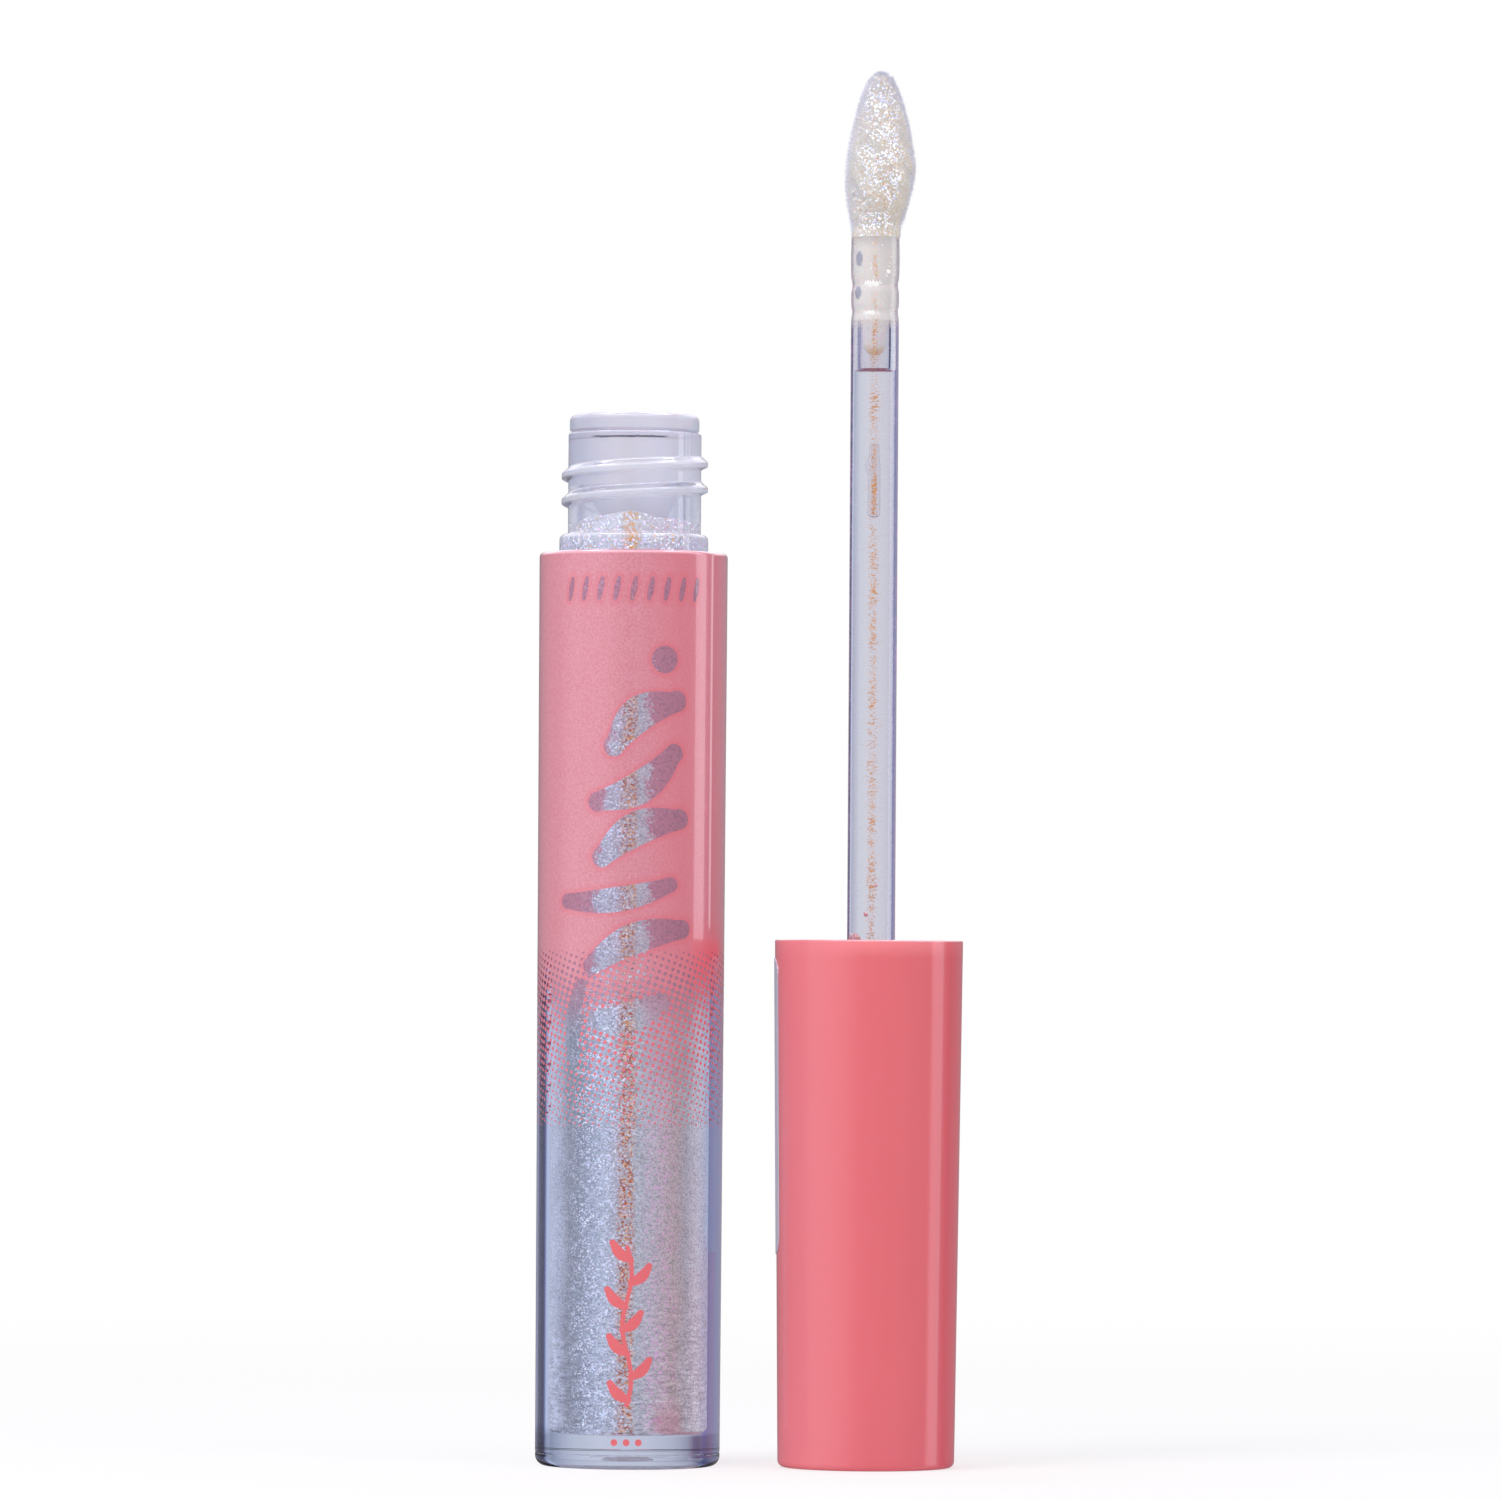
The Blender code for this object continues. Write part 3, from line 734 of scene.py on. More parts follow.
def neck_shape(angle, radius, height):
    """Raises the thread and the mould's step on the outside of the neck."""
    outer = radius > NECK_R - 0.02
    if not outer or not SHOULDER_Z + BEAD_H < height < NECK_TOP - 0.1:
        return radius, height
    rise = thread_rise(angle, height, THREAD_PHASE_Z, THREAD_START, THREAD_START + THREAD_TURNS)
    return radius + (THREAD_R - NECK_R) * rise + mould_step(angle), height


def bottle_outline():
    """From the middle of the gate recess, up the outside, and down the chamber to its floor."""
    foot, bead_edge = 0.8, 0.4
    outline = [(0.0, 0.85), (1.1, 0.82), (1.5, 0.68), (1.8, 0.4), (2.0, 0.12), (2.2, 0.0)]
    outline += [(BASE_R - foot - 0.9, 0.0), (BASE_R - foot - 0.8, 0.06), (BASE_R - foot - 0.6, 0.06)]
    outline += arc(BASE_R - foot, foot, foot, -90, 0, 12)
    outline += [(BASE_R, 0.98), (BASE_R - 0.04, 1.02), (BASE_R - 0.04, 1.08), (BASE_R, 1.12)]
    outline += [(BASE_R + (BODY_R - BASE_R) * share, SHOULDER_Z * share) for share in (0.25, 0.5, 0.75)]
    outline += arc(BODY_R - SHOULDER_EDGE, SHOULDER_Z - SHOULDER_EDGE, SHOULDER_EDGE, 0, 90)
    outline += [(BEAD_R + 0.12, SHOULDER_Z), (BEAD_R, SHOULDER_Z + 0.12)]
    outline += arc(BEAD_R - bead_edge, SHOULDER_Z + BEAD_H - bead_edge, bead_edge, 0, 90)
    outline += [(NECK_R + 0.1, SHOULDER_Z + BEAD_H)]
    outline += [(NECK_R, height) for height in stretch(SHOULDER_Z + BEAD_H + 0.1, NECK_TOP - 0.2, 0.07)]
    outline += arc(NECK_R - 0.2, NECK_TOP - 0.2, 0.2, 0, 90, 4)
    outline += [(CHAMBER_R + 0.1, NECK_TOP), (CHAMBER_R, NECK_TOP - 0.1)]
    outline += [(CHAMBER_R, height) for height in (60.0, 40.0, 20.0)]
    outline += arc(CHAMBER_R - FLOOR_EDGE, FLOOR_Z + FLOOR_EDGE, FLOOR_EDGE, 0, -90)
    outline += [(0.0, FLOOR_Z)]
    return outline


def make_bottle():
    points, faces = turned(bottle_outline(), BOTTLE_X, 216, neck_shape)
    piece("bottle_shell", points, faces, bottle_plastic(), "bottle", ["bottle"], sharp=30)


def gloss_level(angle):
    """The wavy line where the gloss wets the neck, highest at the front."""
    front = math.cos(angle - FRONT)
    return 72.55 + 0.5 * front + 0.18 * math.sin(3 * angle + 0.6) + 0.1 * math.sin(7 * angle)


def make_gloss():
    # The gloss goes a hair into the wall, so there is no air between them
    wet = 0.008
    wall_r = CHAMBER_R + wet
    floor_z = FLOOR_Z - wet
    # Rings from here up are moved to the wavy surface, each some way under its edge
    top_ring = 80.0
    sink = (0.0, 0.12, 0.5)
    outline = [(0.0, floor_z)]
    outline += arc(wall_r - FLOOR_EDGE, floor_z + FLOOR_EDGE, FLOOR_EDGE, -90, 0)
    outline += [(wall_r, height) for height in stretch(5.0, 71.5, 2.0)]
    outline += [(wall_r, top_ring), (wall_r - 0.05, top_ring + 1), (wall_r - 0.5, top_ring + 2)]
    outline += [(0.0, 72.0)]

    def surface(angle, radius, height):
        if height < top_ring:
            return radius, height
        return radius, gloss_level(angle) - sink[round(height - top_ring)]

    points, faces = turned(outline, BOTTLE_X, 144, surface)
    piece("gloss_body", points, faces, pearl_gloss(), "bottle", ["gloss_fill"])


def make_wiper():
    edge = 0.5
    sleeve_r = CHAMBER_R + 0.006
    mouth_r = 3.1
    cone_z = wiper_low.z + 2.5
    lip_r = ROD_R + 0.2
    flange_z = NECK_TOP + 0.1
    top = wiper_high.z - 0.2
    outline = [(sleeve_r, flange_z - 0.04), (FLANGE_R - 0.3, flange_z - 0.04), (FLANGE_R - 0.12, flange_z)]
    outline += [(FLANGE_R, flange_z + 0.12)]
    outline += arc(FLANGE_R - edge, top - edge, edge, 0, 90)
    outline += [(mouth_r + 0.3, top), (mouth_r + 0.1, top - 0.08), (mouth_r, top - 0.3), (mouth_r, cone_z)]
    outline += [(lip_r + 0.1, wiper_low.z + 0.4), (lip_r, wiper_low.z), (lip_r + 0.5, wiper_low.z)]
    outline += [(sleeve_r - 0.1, cone_z - 0.4), (sleeve_r, cone_z - 0.1)]
    points, faces = turned(outline, BOTTLE_X, 144)
    piece("wiper_insert", points, faces, milky_plastic(), "bottle", ["wiper"])


# ---------------------------------------------------------------- the printed coat

HOLES_TOP = 39.7
DOTS_END = 26.1
PRINT_LIFT = 0.012
DOT_PITCH = 0.515
DOT_TURN = math.radians(18)


def body_r(height):
    """The bottle's radius: it widens a little towards the shoulder."""
    return BASE_R + (BODY_R - BASE_R) * height / SHOULDER_Z


def capsule(u, v, start, end, radius, bow=0.0):
    """Signed distance to a rounded stroke from start to end, bowed sideways in the middle."""
    (u0, v0), (u1, v1) = start, end
    du, dv = u1 - u0, v1 - v0
    length = math.hypot(du, dv)
    along = np.clip(((u - u0) * du + (v - v0) * dv) / length ** 2, 0, 1)
    bend = bow * 4 * along * (1 - along)
    near_u = u0 + du * along - dv / length * bend
    near_v = v0 + dv * along + du / length * bend
    taper = radius * (0.62 + 0.38 * np.sin(np.pi * along))
    return np.hypot(u - near_u, v - near_v) - taper


def window_distance(u, v):
    """How far a point of the coat is outside its clear windows: a generic run of brush-like strokes."""
    shapes = [np.hypot(u - 2.6, v - 61.8) - 1.05]
    strokes = [
        ((-1.3, 55.2), (3.6, 58.6), 1.35, 0.9),
        ((-2.6, 50.9), (3.4, 54.6), 1.25, -0.8),
        ((-2.2, 46.7), (3.9, 49.6), 1.3, 0.8),
        ((-5.3, 43.3), (3.2, 44.6), 0.95, -0.5),
        ((-3.0, 38.4), (4.2, 41.2), 1.2, 0.7),
        ((-2.6, 34.3), (2.4, 35.6), 1.15, -0.5),
        ((-4.6, 30.9), (-3.9, 37.0), 0.7, 0.4),
    ]
    for start, end, radius, bow in strokes:
        shapes.append(capsule(u, v, start, end, radius, bow))
    for index in range(9):
        shapes.append(capsule(u, v, (-5.2 + 1.3 * index, 66.4), (-4.9 + 1.3 * index, 68.0), 0.24))
    return np.minimum.reduce(shapes)


def halftone(u, v):
    """Above 0 where the fading screen of dots has ink."""
    c, s = math.cos(DOT_TURN), math.sin(DOT_TURN)
    across = (u * c - v * s) * math.tau / DOT_PITCH
    up = (u * s + v * c) * math.tau / DOT_PITCH
    screen = np.cos(across) + np.cos(up)
    # Pinholes that grow and join, then dots that shrink
    heights = (DOTS_END, 29.8, 31.2, 35.5, 37.2, 39.3, HOLES_TOP)
    return screen - np.interp(v, heights, (1.5, 1.1, 0.75, 0.35, -0.3, -1.2, -2.0))


def sheet(u_values, v_values, field):
    """The part of a rolled-out grid where field is above 0, with its edge cut through the cells."""
    u_grid, v_grid = np.meshgrid(u_values, v_values)
    level = field(u_grid, v_grid)
    level = np.where(np.abs(level) < 1e-7, 1e-7, level)
    columns = level.shape[1]
    flat_u, flat_v, flat = u_grid.ravel(), v_grid.ravel(), level.ravel()
    points, faces, known = [], [], {}

    def corner(index):
        if index not in known:
            known[index] = len(points)
            points.append((flat_u[index], flat_v[index]))
        return known[index]

    def crossing(first, second):
        a, b = min(first, second), max(first, second)
        if (a, b) not in known:
            share = flat[a] / (flat[a] - flat[b])
            known[a, b] = len(points)
            points.append(tuple(along[a] + (along[b] - along[a]) * share for along in (flat_u, flat_v)))
        return known[a, b]

    inked = level > 0
    touched = inked[:-1, :-1] | inked[1:, :-1] | inked[:-1, 1:] | inked[1:, 1:]
    for row, column in zip(*np.nonzero(touched)):
        first = row * columns + column
        loop = (first, first + 1, first + columns + 1, first + columns)
        outline = []
        for here, after in zip(loop, loop[1:] + loop[:1]):
            if flat[here] > 0:
                outline.append(corner(here))
            if (flat[here] > 0) != (flat[after] > 0):
                outline.append(crossing(here, after))
        if len(outline) > 2:
            faces.append(tuple(outline))
    return points, faces


def rolled(points, lift):
    """Rolls a flat print round the bottle. u runs to the right from the middle of the front."""
    return [on_round(BOTTLE_X, body_r(v) + lift, FRONT + u / BODY_R, v) for u, v in points]


def round_values(step):
    half = math.pi * BODY_R
    return np.linspace(-half, half, round(2 * half / step) + 1)


def make_coat():
    """The coral coat: over the shoulder, down round its windows, and away in a screen of dots."""
    seam_z = HOLES_TOP + 0.1
    upper, upper_faces = sheet(
        round_values(0.14),
        np.array(stretch(seam_z, SHOULDER_Z - SHOULDER_EDGE, 0.14)), window_distance)
    lower, lower_faces = sheet(
        round_values(0.052), np.array(stretch(DOTS_END, seam_z, 0.052)),
        lambda u, v: np.minimum(halftone(u, v), window_distance(u, v) * 3))
    outline = arc(BODY_R - SHOULDER_EDGE, SHOULDER_Z - SHOULDER_EDGE, SHOULDER_EDGE + PRINT_LIFT, 0, 90)
    outline.append((BEAD_R + 0.35, SHOULDER_Z + PRINT_LIFT))
    sides = 216
    rim = [on_round(BOTTLE_X, r, math.tau * step / sides, z) for r, z in outline for step in range(sides)]
    points, faces = merged(
        (rolled(upper, PRINT_LIFT), upper_faces),
        (rolled(lower, PRINT_LIFT), lower_faces),
        (rim, ring_faces(len(outline), sides)),
    )
    # The rim is far from any window
    flat = np.array(upper + lower)
    gaps = np.concatenate([window_distance(flat[:, 0], flat[:, 1]), np.full(len(rim), 9.0)])
    coat = piece("coral_coat", points, faces, coral_coat(), "bottle", outward=False,
                 values={"window_gap": gaps})
    coat.visible_shadow = False
    coat.visible_diffuse = False


def make_motif():
    """A plain ornament in coral ink below the coat: a waving stem with leaves, and three dots."""
    low, high = 4.9, 17.0
    leaves = 7
    wave = math.tau / (high - low) * 1.5

    def ink(u, v):
        bend = 0.35 * np.sin((v - low) * wave)
        along = np.clip(np.abs(v - (low + high) / 2) - (high - low) / 2, 0, None)
        shapes = [np.hypot(u - bend, along * 1.5) - 0.17]
        for index in range(leaves):
            foot = low + 0.4 + (high - low - 1.4) * index / (leaves - 1)
            way = 1 if index % 2 else -1
            root = 0.35 * math.sin((foot - low) * wave)
            shapes.append(capsule(u, v, (root, foot), (root + way * 1.4, foot + 1.3), 0.42, -0.2 * way))
        for index in range(3):
            shapes.append(np.hypot(u - 0.95 * (index - 1), v - 2.1) - 0.26)
        return -np.minimum.reduce(shapes)

    points, faces = sheet(np.array(stretch(-2.4, 2.4, 0.05)), np.array(stretch(1.5, 18.5, 0.05)), ink)
    points = rolled(points, PRINT_LIFT)
    motif = piece("coral_motif", points, faces, coral_print(), "bottle", outward=False)
    motif.visible_shadow = False
    motif.visible_diffuse = False


# ---------------------------------------------------------------- the cap

def cap_r(height):
    return CAP_END_R + (BODY_R - CAP_END_R) * height / CAP_H


def make_cap():
    end_edge, floor, lip = 0.5, 1.2, 0.12
    outline = [(0.0, 0.0), (3.0, 0.0)]
    outline += arc(CAP_END_R - end_edge, end_edge, end_edge, -90, 0)
    outline += [(cap_r(height), height) for height in stretch(3.0, CAP_H - lip, 4.0)]
    outline += arc(BODY_R - lip, CAP_H - lip, lip, 20, 90, 4)
    outline += [(BODY_R - CAP_WALL + 0.1, CAP_H), (BODY_R - CAP_WALL, CAP_H - 0.1)]
    floor_r = cap_r(floor) - CAP_WALL
    outline += [(floor_r, floor + 0.3), (floor_r - 0.3, floor), (0.0, floor)]
    points, faces = turned(outline, WAND_X, 192)
    paint = coral_plastic("coral_cap_seen")
    piece("cap_shell", points, faces, paint, "applicator", ["outer_cap"])


def make_liner():
    """The liner, with its thread in mesh with the neck's when the cap is closed."""
    root_r = BEAD_R + 0.1
    crest_r = NECK_R + 0.2
    seal_z = 29.5
    web_z = seal_z - 1.2
    skirt_r = (liner_high.x - liner_low.x) / 2
    socket_r, bore_r = 3.0, ROD_R + 0.05
    socket_floor = seal_z - 9.0
    phase = 35.7

    def inner_thread(angle, radius, height):
        if abs(radius - root_r) > 1e-6:
            return radius, height
        rise = thread_rise(angle, height, phase, -THREAD_TURNS / 2, THREAD_TURNS / 4)
        return radius - (root_r - crest_r) * rise, height

    outline = [(0.0, liner_low.z), (socket_r, liner_low.z), (socket_r, web_z), (skirt_r, web_z)]
    outline += [(skirt_r, liner_high.z), (root_r, liner_high.z)]
    outline += [(root_r, height) for height in stretch(liner_high.z - 0.2, seal_z + 0.1, 0.1)]
    outline += [(root_r - 0.2, seal_z), (bore_r + 0.1, seal_z), (bore_r, seal_z - 0.1)]
    outline += [(bore_r, socket_floor), (0.0, socket_floor)]
    points, faces = turned(outline, WAND_X, 144, inner_thread)
    paint = coral_plastic("coral_liner_seen", 0.3)
    piece("cap_liner", points, faces, paint, "applicator", ["inner_cap"])


def make_label():
    """A blank adhesive label round the back of the cap, with rounded corners and a bevelled edge."""
    corner, thick, bevel = 1.5, 0.07, 0.07
    start, end = math.radians(35), math.radians(195)
    mid_z = (label_low.z + label_high.z) / 2
    mid_r = cap_r(mid_z)
    half_u = (end - start) / 2 * mid_r
    half_v = (label_high.z - label_low.z) / 2

    def inside(u, v):
        """Above 0 inside the bevel."""
        du = np.abs(u) - (half_u - corner)
        dv = np.abs(v) - (half_v - corner)
        gap = np.hypot(np.maximum(du, 0), np.maximum(dv, 0)) + np.minimum(np.maximum(du, dv), 0)
        return corner - bevel - gap + 1e-4

    def rim(inset):
        loop = []
        for right, up, turn in ((1, 1, 0), (-1, 1, 90), (-1, -1, 180), (1, -1, 270)):
            middle = (right * (half_u - corner), up * (half_v - corner))
            loop += arc(*middle, corner - inset, turn, turn + 90, 12)
        spots = []
        for (u0, v0), (u1, v1) in zip(loop, loop[1:] + loop[:1]):
            hops = max(1, round(math.hypot(u1 - u0, v1 - v0) / 0.4))
            spots += [(u0 + (u1 - u0) * hop / hops, v0 + (v1 - v0) * hop / hops) for hop in range(hops)]
        return spots

    def wrap(spots, rise):
        middle = (start + end) / 2
        return [on_round(WAND_X, cap_r(mid_z + v) + rise, middle + u / mid_r, mid_z + v) for u, v in spots]

    us = np.linspace(bevel - half_u, half_u - bevel, 90)
    vs = np.linspace(bevel - half_v, half_v - bevel, 60)
    spots, faces = sheet(us, vs, inside)
    edge = wrap(rim(0.0), 0.01) + wrap(rim(0.0), thick * 0.6) + wrap(rim(bevel), thick)
    points, faces = merged((wrap(spots, thick), faces), (edge, ring_faces(3, len(edge) // 3)))
    film = silver_film()
    piece("label_film", points, faces, film, "applicator", ["cap_label"], outward=False)


# ---------------------------------------------------------------- the wand

def bump_at(height, middle, width):
    return math.exp(-((height - middle) / width) ** 2)


def rod_r(height):
    """The rod's radius: pinched twice where it is crimped on the stem."""
    pinch = 0.1 * bump_at(height, WAND_END - 3.9, 0.42) + 0.09 * bump_at(height, WAND_END - 6.0, 0.4)
    return ROD_R + 0.03 * bump_at(height, WAND_END - 2.0, 1.2) - pinch


def stem_bore_r(height):
    """The bore closes on the stem at the two crimps."""
    squeeze = bump_at(height, WAND_END - 3.9, 0.5) + bump_at(height, WAND_END - 6.0, 0.45)
    return STEM_BORE_R - 0.1 * squeeze


def make_wand():
    root = 20.6
    bore_z = WAND_END - STEM_BORE_DEPTH
    outline = [(0.0, root), (ROD_R - 0.1, root), (ROD_R, root + 0.1)]
    outline += [(rod_r(height), height) for height in stretch(40.0, WAND_END - 8.0, 4.0)]
    outline += [(rod_r(height), height) for height in stretch(WAND_END - 7.8, WAND_END - 0.25, 0.15)]
    outline += arc(ROD_R - 0.2, WAND_END - 0.2, 0.2, 0, 90, 4)
    outline += [(STEM_BORE_R + 0.1, WAND_END), (STEM_BORE_R, WAND_END - 0.1)]
    outline += [(stem_bore_r(height), height) for height in stretch(WAND_END - 0.3, WAND_END - 7.5, 0.15)]
    outline += [(STEM_BORE_R, bore_z + 0.25), (STEM_BORE_R - 0.08, bore_z + 0.08)]
    outline += [(STEM_BORE_R - 0.25, bore_z), (0.0, bore_z)]
    points, faces = merged(turned(outline, ROD_X, 128), make_bubble())
    piece("wand", points, faces, wand_plastic(), "applicator", ["wand_rod"], outward=False)


def make_bubble():
    """The long flat air bubble trapped in the rod, with a hooked lip near its top."""
    low, high = 73.1, 78.75
    radius = 0.4
    outline = [(0.0, low)]
    outline += arc(radius - 0.3, low + 0.3, 0.3, -80, -5, 6)
    outline += [(radius, height) for height in stretch(low + 0.6, high - 2.0, 0.3)]
    outline += [(radius * 0.96, high - 1.6), (radius * 0.84, high - 1.0), (radius * 0.8, high - 0.1)]
    outline += [(radius * 0.6, high), (0.0, high)]

    def hook(angle, r, z):
        left = max(0.0, math.cos(angle - math.pi)) ** 3
        return r + 0.28 * left * bump_at(z, high - 1.75, 0.32), z

    points, faces = turned(outline, ROD_X, 64, hook)
    # Facing inwards, because it is a hollow in the rod
    return [(x, y * 0.3 - 0.9, z) for x, y, z in points], [tuple(reversed(face)) for face in faces]


def make_stem():
    """The tip's stem: it fills the bore down past the crimps, then ends in a narrower plug."""
    tight_r = STEM_BORE_R + 0.012
    end = WAND_END - 9.4
    outline = [(0.0, end), (0.4, end), (0.66, end + 0.3), (0.9, end + 0.9), (0.96, WAND_END - 7.1)]
    outline += [(tight_r, WAND_END - 6.6)]
    for height in stretch(WAND_END - 6.5, WAND_END - 0.4, 0.15):
        outline.append((stem_bore_r(height) + 0.012, height))
    outline += [(STEM_BORE_R + 0.03, WAND_END), (STEM_BORE_R, WAND_END + 0.4), (0.0, WAND_END + 0.6)]
    points, faces = turned(outline, ROD_X, 64)
    piece("tip_stem", points, faces, stem_plastic(), "applicator", ["applicator_stem"])


def tip_r(height):
    """The tip's radius at a height above its foot: swelling at first, then a taper to a round nose."""
    if height <= TIP_WIDEST:
        return TIP_BASE_R + (TIP_R - TIP_BASE_R) * math.sin(math.pi / 2 * height / TIP_WIDEST)
    share = min(1.0, (height - TIP_WIDEST) / (TIP_TOP + 0.12 - WAND_END - TIP_WIDEST))
    return TIP_R * max(0.0, 1 - share ** 1.1) ** (1 / 2.3)


def tip_lean(height):
    """The soft tip leans a little to one side."""
    return 0.38 * min(1.0, max(0.0, height) / TIP_WIDEST)


def make_tip():
    """The flocked bulb under its fur, uneven where the fur is clumped by the gloss."""
    fur = 0.2
    length = TIP_TOP - WAND_END
    outline = [(0.0, WAND_END + 0.02), (ROD_R - 0.3, WAND_END + 0.02), (ROD_R + 0.01, WAND_END - 0.25)]
    outline += [(ROD_R + 0.04, WAND_END - 0.1)]
    for height in stretch(0.15, length - fur, 0.1):
        under = tip_r(height * length / (length - fur)) - fur
        least = ROD_R + 0.04 if height < 2.0 else 0.0
        outline.append((max(least, under), WAND_END + height))
    outline = [spot for spot in outline[:-1] if spot[0] > 0.1 or spot[1] < WAND_END + 1]
    outline.append((0.0, TIP_TOP - fur))
    draw = random.Random(7)
    waves = [(draw.randint(2, 11), draw.uniform(0.8, 4.0), draw.uniform(0, math.tau)) for _ in range(16)]

    def lumpy(angle, radius, height):
        lump = sum(math.sin(around * angle + up * height + shift) for around, up, shift in waves) / 4
        return radius * (1 + 0.02 * lump * min(1.0, (TIP_TOP - height) / 3)), height

    points, faces = turned(outline, ROD_X, 144, lumpy)
    points = [(x + tip_lean(z - WAND_END), y, z) for x, y, z in points]
    flock = wet_flock()
    piece("flocked_tip", points, faces, flock, "applicator", ["applicator_flock"], sharp=80)


def make_fur():
    """Short fibres that stand out of the tip, thousands of them, each a thin three-sided spike."""
    draw = random.Random(11)
    length = TIP_TOP - WAND_END
    count = 16000
    points, faces = [], []
    for _ in range(count):
        height = 0.1 + (length - 0.15) * draw.random()
        angle = draw.uniform(0, math.tau)
        foot_r = max(0.1, tip_r(height) - 0.26)
        if height > length - 0.4:
            foot_r *= math.sqrt(draw.random())
        slope = (tip_r(height + 0.1) - tip_r(height - 0.1)) / 0.2
        normal = Vector((math.cos(angle), math.sin(angle), -slope)).normalized()
        sway = Vector((draw.gauss(0, 0.16), draw.gauss(0, 0.16), draw.gauss(0.08, 0.18)))
        way = (normal + sway).normalized()
        foot = Vector(on_round(ROD_X + tip_lean(height), foot_r, angle, WAND_END + height))
        across = way.orthogonal().normalized() * 0.018
        other = way.cross(across)
        start = len(points)
        for turn in range(3):
            around = math.tau * turn / 3
            points.append(tuple(foot + across * math.cos(around) + other * math.sin(around)))
        top = foot + way * draw.uniform(0.22, 0.32)
        points.append(tuple(top))
        faces += [(start + turn, start + (turn + 1) % 3, start + 3) for turn in range(3)]
    piece("tip_fur", points, faces, fur_fibre(), "applicator", outward=False)


def make_drop(name, node, turn, height, width, tall, rise, paint):
    """A drop of gloss that hugs the rod: a dome whose foot follows the round."""
    rings, sides = 8, 28
    draw = random.Random(name)
    shift = draw.uniform(0.85, 1.15) * 5
    other_shift = draw.uniform(0.85, 1.15) * 9
    points = []
    for ring in range(rings):
        share = ring / rings
        spread = math.cos(math.pi / 2 * share)
        lift = rise * math.sin(math.pi / 2 * share)
        for side in range(sides):
            around = math.tau * side / sides
            wobble = 1 + 0.12 * math.sin(2 * around + shift) + 0.08 * math.sin(3 * around + other_shift)
            u = width / 2 * spread * wobble * math.cos(around)
            v = tall / 2 * spread * wobble * math.sin(around)
            points.append(on_round(ROD_X, ROD_R - 0.02 + lift, math.radians(turn) + u / ROD_R, height + v))
    faces = ring_faces(rings, sides)
    faces.append(tuple((rings - 1) * sides + side for side in range(sides)))
    faces.append(tuple(reversed(range(sides))))
    piece(name, points, faces, paint, "applicator", [node])


def make_drops():
    paint = wet_drop()
    make_drop("rim_drop", "gloss_drop_rim", 222, CAP_H + 0.1, 1.5, 0.8, 0.22, paint)
    make_drop("low_drop", "gloss_drop_low", 256, CAP_H + 2.0, 0.42, 0.32, 0.1, paint)
    make_drop("high_drop", "gloss_drop_high", 280, CAP_H + 4.2, 0.3, 0.26, 0.09, paint)


# ---------------------------------------------------------------- the studio

# What clear pieces show of the tent, by degrees from straight on, above 0 to the right
TENT_STOPS = [
    (-120, (160, 163, 194)), (-60, (140, 142, 176)), (-50, (128, 130, 166)), (-46, (128, 136, 190)),
    (-43, (168, 167, 195)), (-37, (184, 183, 205)), (-31, (202, 202, 218)), (-25, (208, 209, 223)),
    (-17, (213, 214, 227)), (-5, (216, 217, 229)), (10, (214, 216, 228)), (24, (206, 211, 225)),
    (35, (188, 194, 212)), (44, (172, 180, 202)), (49, (210, 218, 242)), (52.5, (194, 202, 234)),
    (55, (92, 92, 142)), (58, (46, 40, 72)), (71, (50, 46, 78)), (77, (176, 182, 212)),
    (120, (196, 200, 222)),
]


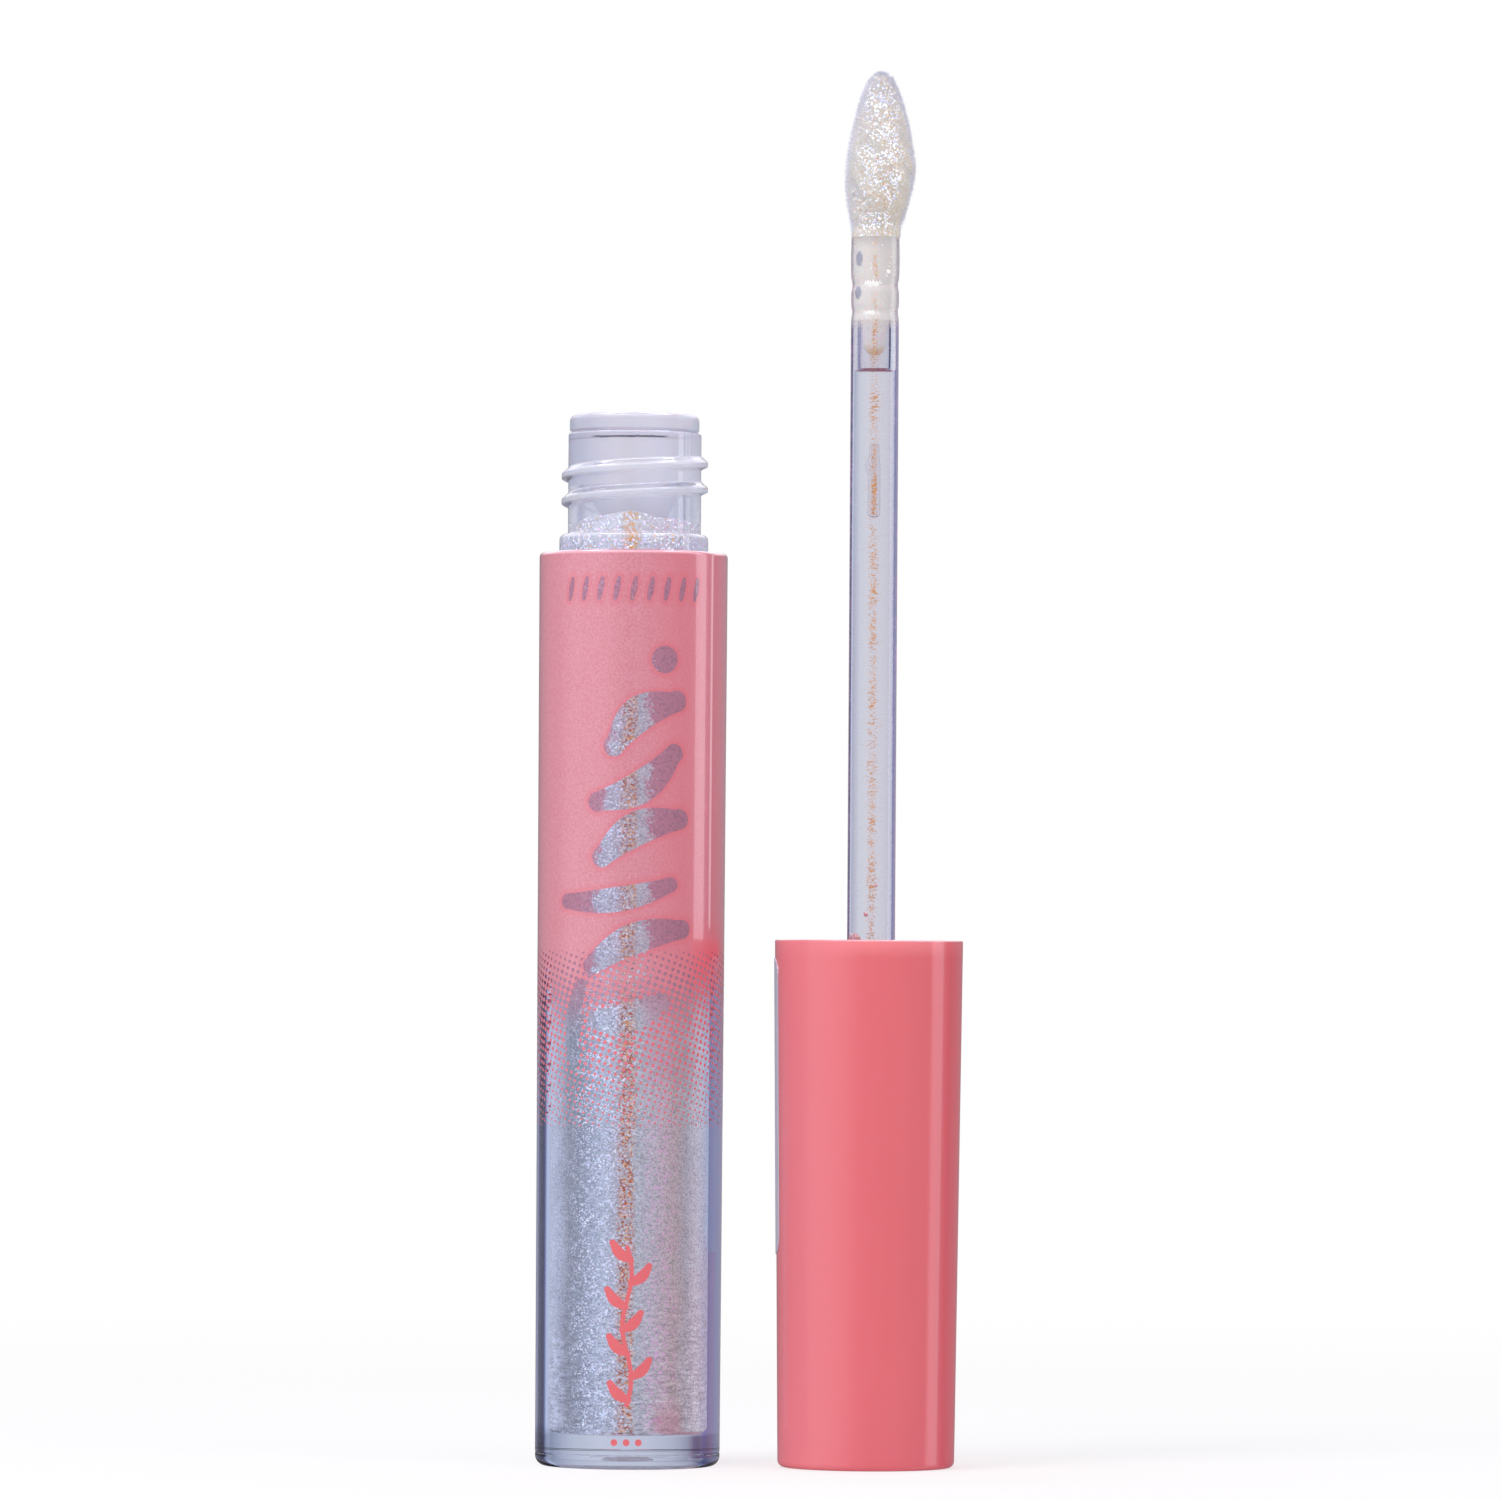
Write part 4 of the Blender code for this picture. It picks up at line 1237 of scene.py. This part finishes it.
def make_world():
    """A white tent. Camera rays see plain white; clear and shiny pieces see soft boxes and dark flags."""
    world = bpy.data.worlds.new("studio")
    bpy.context.scene.world = world
    world.use_nodes = True
    graph = Graph(world.node_tree)
    way = graph.node("ShaderNodeTexCoord").outputs["Generated"]
    up = graph.parts(way)["Z"]
    from_camera = graph.node("ShaderNodeVectorTransform", {
        "vector_type": "VECTOR", "convert_from": "WORLD", "convert_to": "CAMERA"}, {"Vector": way})
    across, _, ahead = (graph.parts(from_camera.outputs[0])[axis] for axis in "XYZ")

    def degrees(first, second):
        return graph.times(graph.maths("ARCTAN2", first, second), 180 / math.pi)

    on_dial = graph.scaled(degrees(across, ahead), 1 / 360, 0.5)
    clear_view = graph.ramp(on_dial, [(0.5 + angle / 360, tint) for angle, tint in TENT_STOPS])
    clear_view = graph.tinted(clear_view, graph.smooth(up, -0.25, -0.7), 0.7, (112, 114, 150))
    # Shiny pieces: a wide soft box at the left, strips at the right, and light from above.
    # Straight back at the camera is 0 degrees, above 0 to the right
    back = degrees(across, graph.times(ahead, -1.0))
    shine = 0.2
    for source, strength in (
        (graph.band(back, -73.0, -39.0, 34.0), 0.7),
        (graph.band(back, 84.8, 105.4, 1.2), 2.3),
        (graph.band(back, 107.6, 110.4, 0.8), 3.2),
        (graph.band(back, 130.0, 170.0, 8.0), 0.12),
        (graph.smooth(up, 0.1, 0.5), 2.1),
        (graph.band(up, 0.84, 0.92, 0.02), 7.0),
    ):
        shine = graph.scaled(source, strength, shine)
    shine = graph.times(shine, graph.scaled(graph.smooth(up, -0.05, -0.5), -0.7, 1.0))
    boxes = graph.node("ShaderNodeCombineColor", inputs={
        "Red": shine, "Green": graph.times(shine, 0.99), "Blue": graph.times(shine, 1.08)})
    soft = graph.blend(graph.smooth(across, -0.9, 0.9), (250, 250, 255), (214, 210, 214))
    rays = graph.node("ShaderNodeLightPath").outputs
    light = graph.blend(rays["Is Glossy Ray"], soft, boxes.outputs[0])
    light = graph.blend(rays["Is Transmission Ray"], light, clear_view)
    light = graph.blend(rays["Is Camera Ray"], light, WHITE)
    backdrop = graph.node("ShaderNodeBackground", inputs={"Color": light, "Strength": 1.0})
    graph.node("ShaderNodeOutputWorld", inputs={"Surface": backdrop.outputs[0]})


def floor_paper():
    """Pale paper, lit near the object and glowing by itself further out."""
    look = Look("floor_paper")
    far = look.scaled(look.smooth(look.out_from(), 30.0, 350.0), 0.4, 0.6)
    base = look.blend(look.noise(1.5, 3.0), (0.93, 0.93, 0.935, 1.0), (0.95, 0.95, 0.955, 1.0))
    lit = look.node("ShaderNodeBsdfDiffuse", inputs={"Color": base}).outputs[0]
    return look.finish(look.mix_shaders(far, lit, look.glow()))


def make_floor():
    """A pale round floor that fades into the white of the tent."""
    rings = (0.0, 100.0, 250.0, 600.0, 2000.0, 12000.0)
    points, faces = turned([(radius, -0.02) for radius in rings], 0.0, 96)
    faces = [face for face in faces if len(set(face)) == len(face)]
    mesh = bpy.data.meshes.new("floor")
    mesh.from_pydata([(x * MM, y * MM, z * MM) for x, y, z in points], [], faces)
    mesh.materials.append(floor_paper())
    floor = bpy.data.objects.new("floor", mesh)
    bpy.context.scene.collection.objects.link(floor)
    floor.visible_transmission = False
    floor.visible_glossy = False


def make_lights():
    middle = Vector((0.0, 0.0, 0.05))
    for name, spot, size, power, shade in (
        ("key", (-0.35, -0.38, 0.42), 0.3, 1.4, (1.0, 0.99, 1.0)),
        ("fill", (0.45, -0.3, 0.3), 0.3, 0.5, (1.0, 0.98, 0.98)),
    ):
        light = bpy.data.lights.new(name, "AREA")
        light.size = size
        light.energy = power
        light.color = shade
        made = bpy.data.objects.new(name, light)
        made.location = spot
        made.rotation_euler = (middle - Vector(spot)).to_track_quat("-Z", "Y").to_euler()
        made.visible_glossy = False
        made.visible_transmission = False
        bpy.context.scene.collection.objects.link(made)


def make_camera():
    """Level with the tube's lower third, looking slightly up, as for a pack shot with a long lens."""
    camera = bpy.data.cameras.new("camera")
    camera.sensor_width = 36.0
    camera.lens = 206.4
    camera.clip_start = 0.01
    camera.clip_end = 30.0
    made = bpy.data.objects.new("camera", camera)
    spot = Vector((-0.0001, -0.663, 0.0361))
    target = Vector((-0.0001, 0.0, 0.05512))
    roll = math.radians(0.39)
    made.location = spot
    made.rotation_mode = "QUATERNION"
    made.rotation_quaternion = (target - spot).to_track_quat("-Z", "Y") @ Quaternion((0.0, 0.0, 1.0), roll)
    bpy.context.scene.collection.objects.link(made)
    bpy.context.scene.camera = made


bpy.context.scene.view_settings.view_transform = "Standard"
make_bottle()
make_gloss()
make_wiper()
make_coat()
make_motif()
make_cap()
make_liner()
make_label()
make_wand()
make_stem()
make_tip()
make_fur()
make_drops()
make_world()
make_floor()
make_lights()
make_camera()
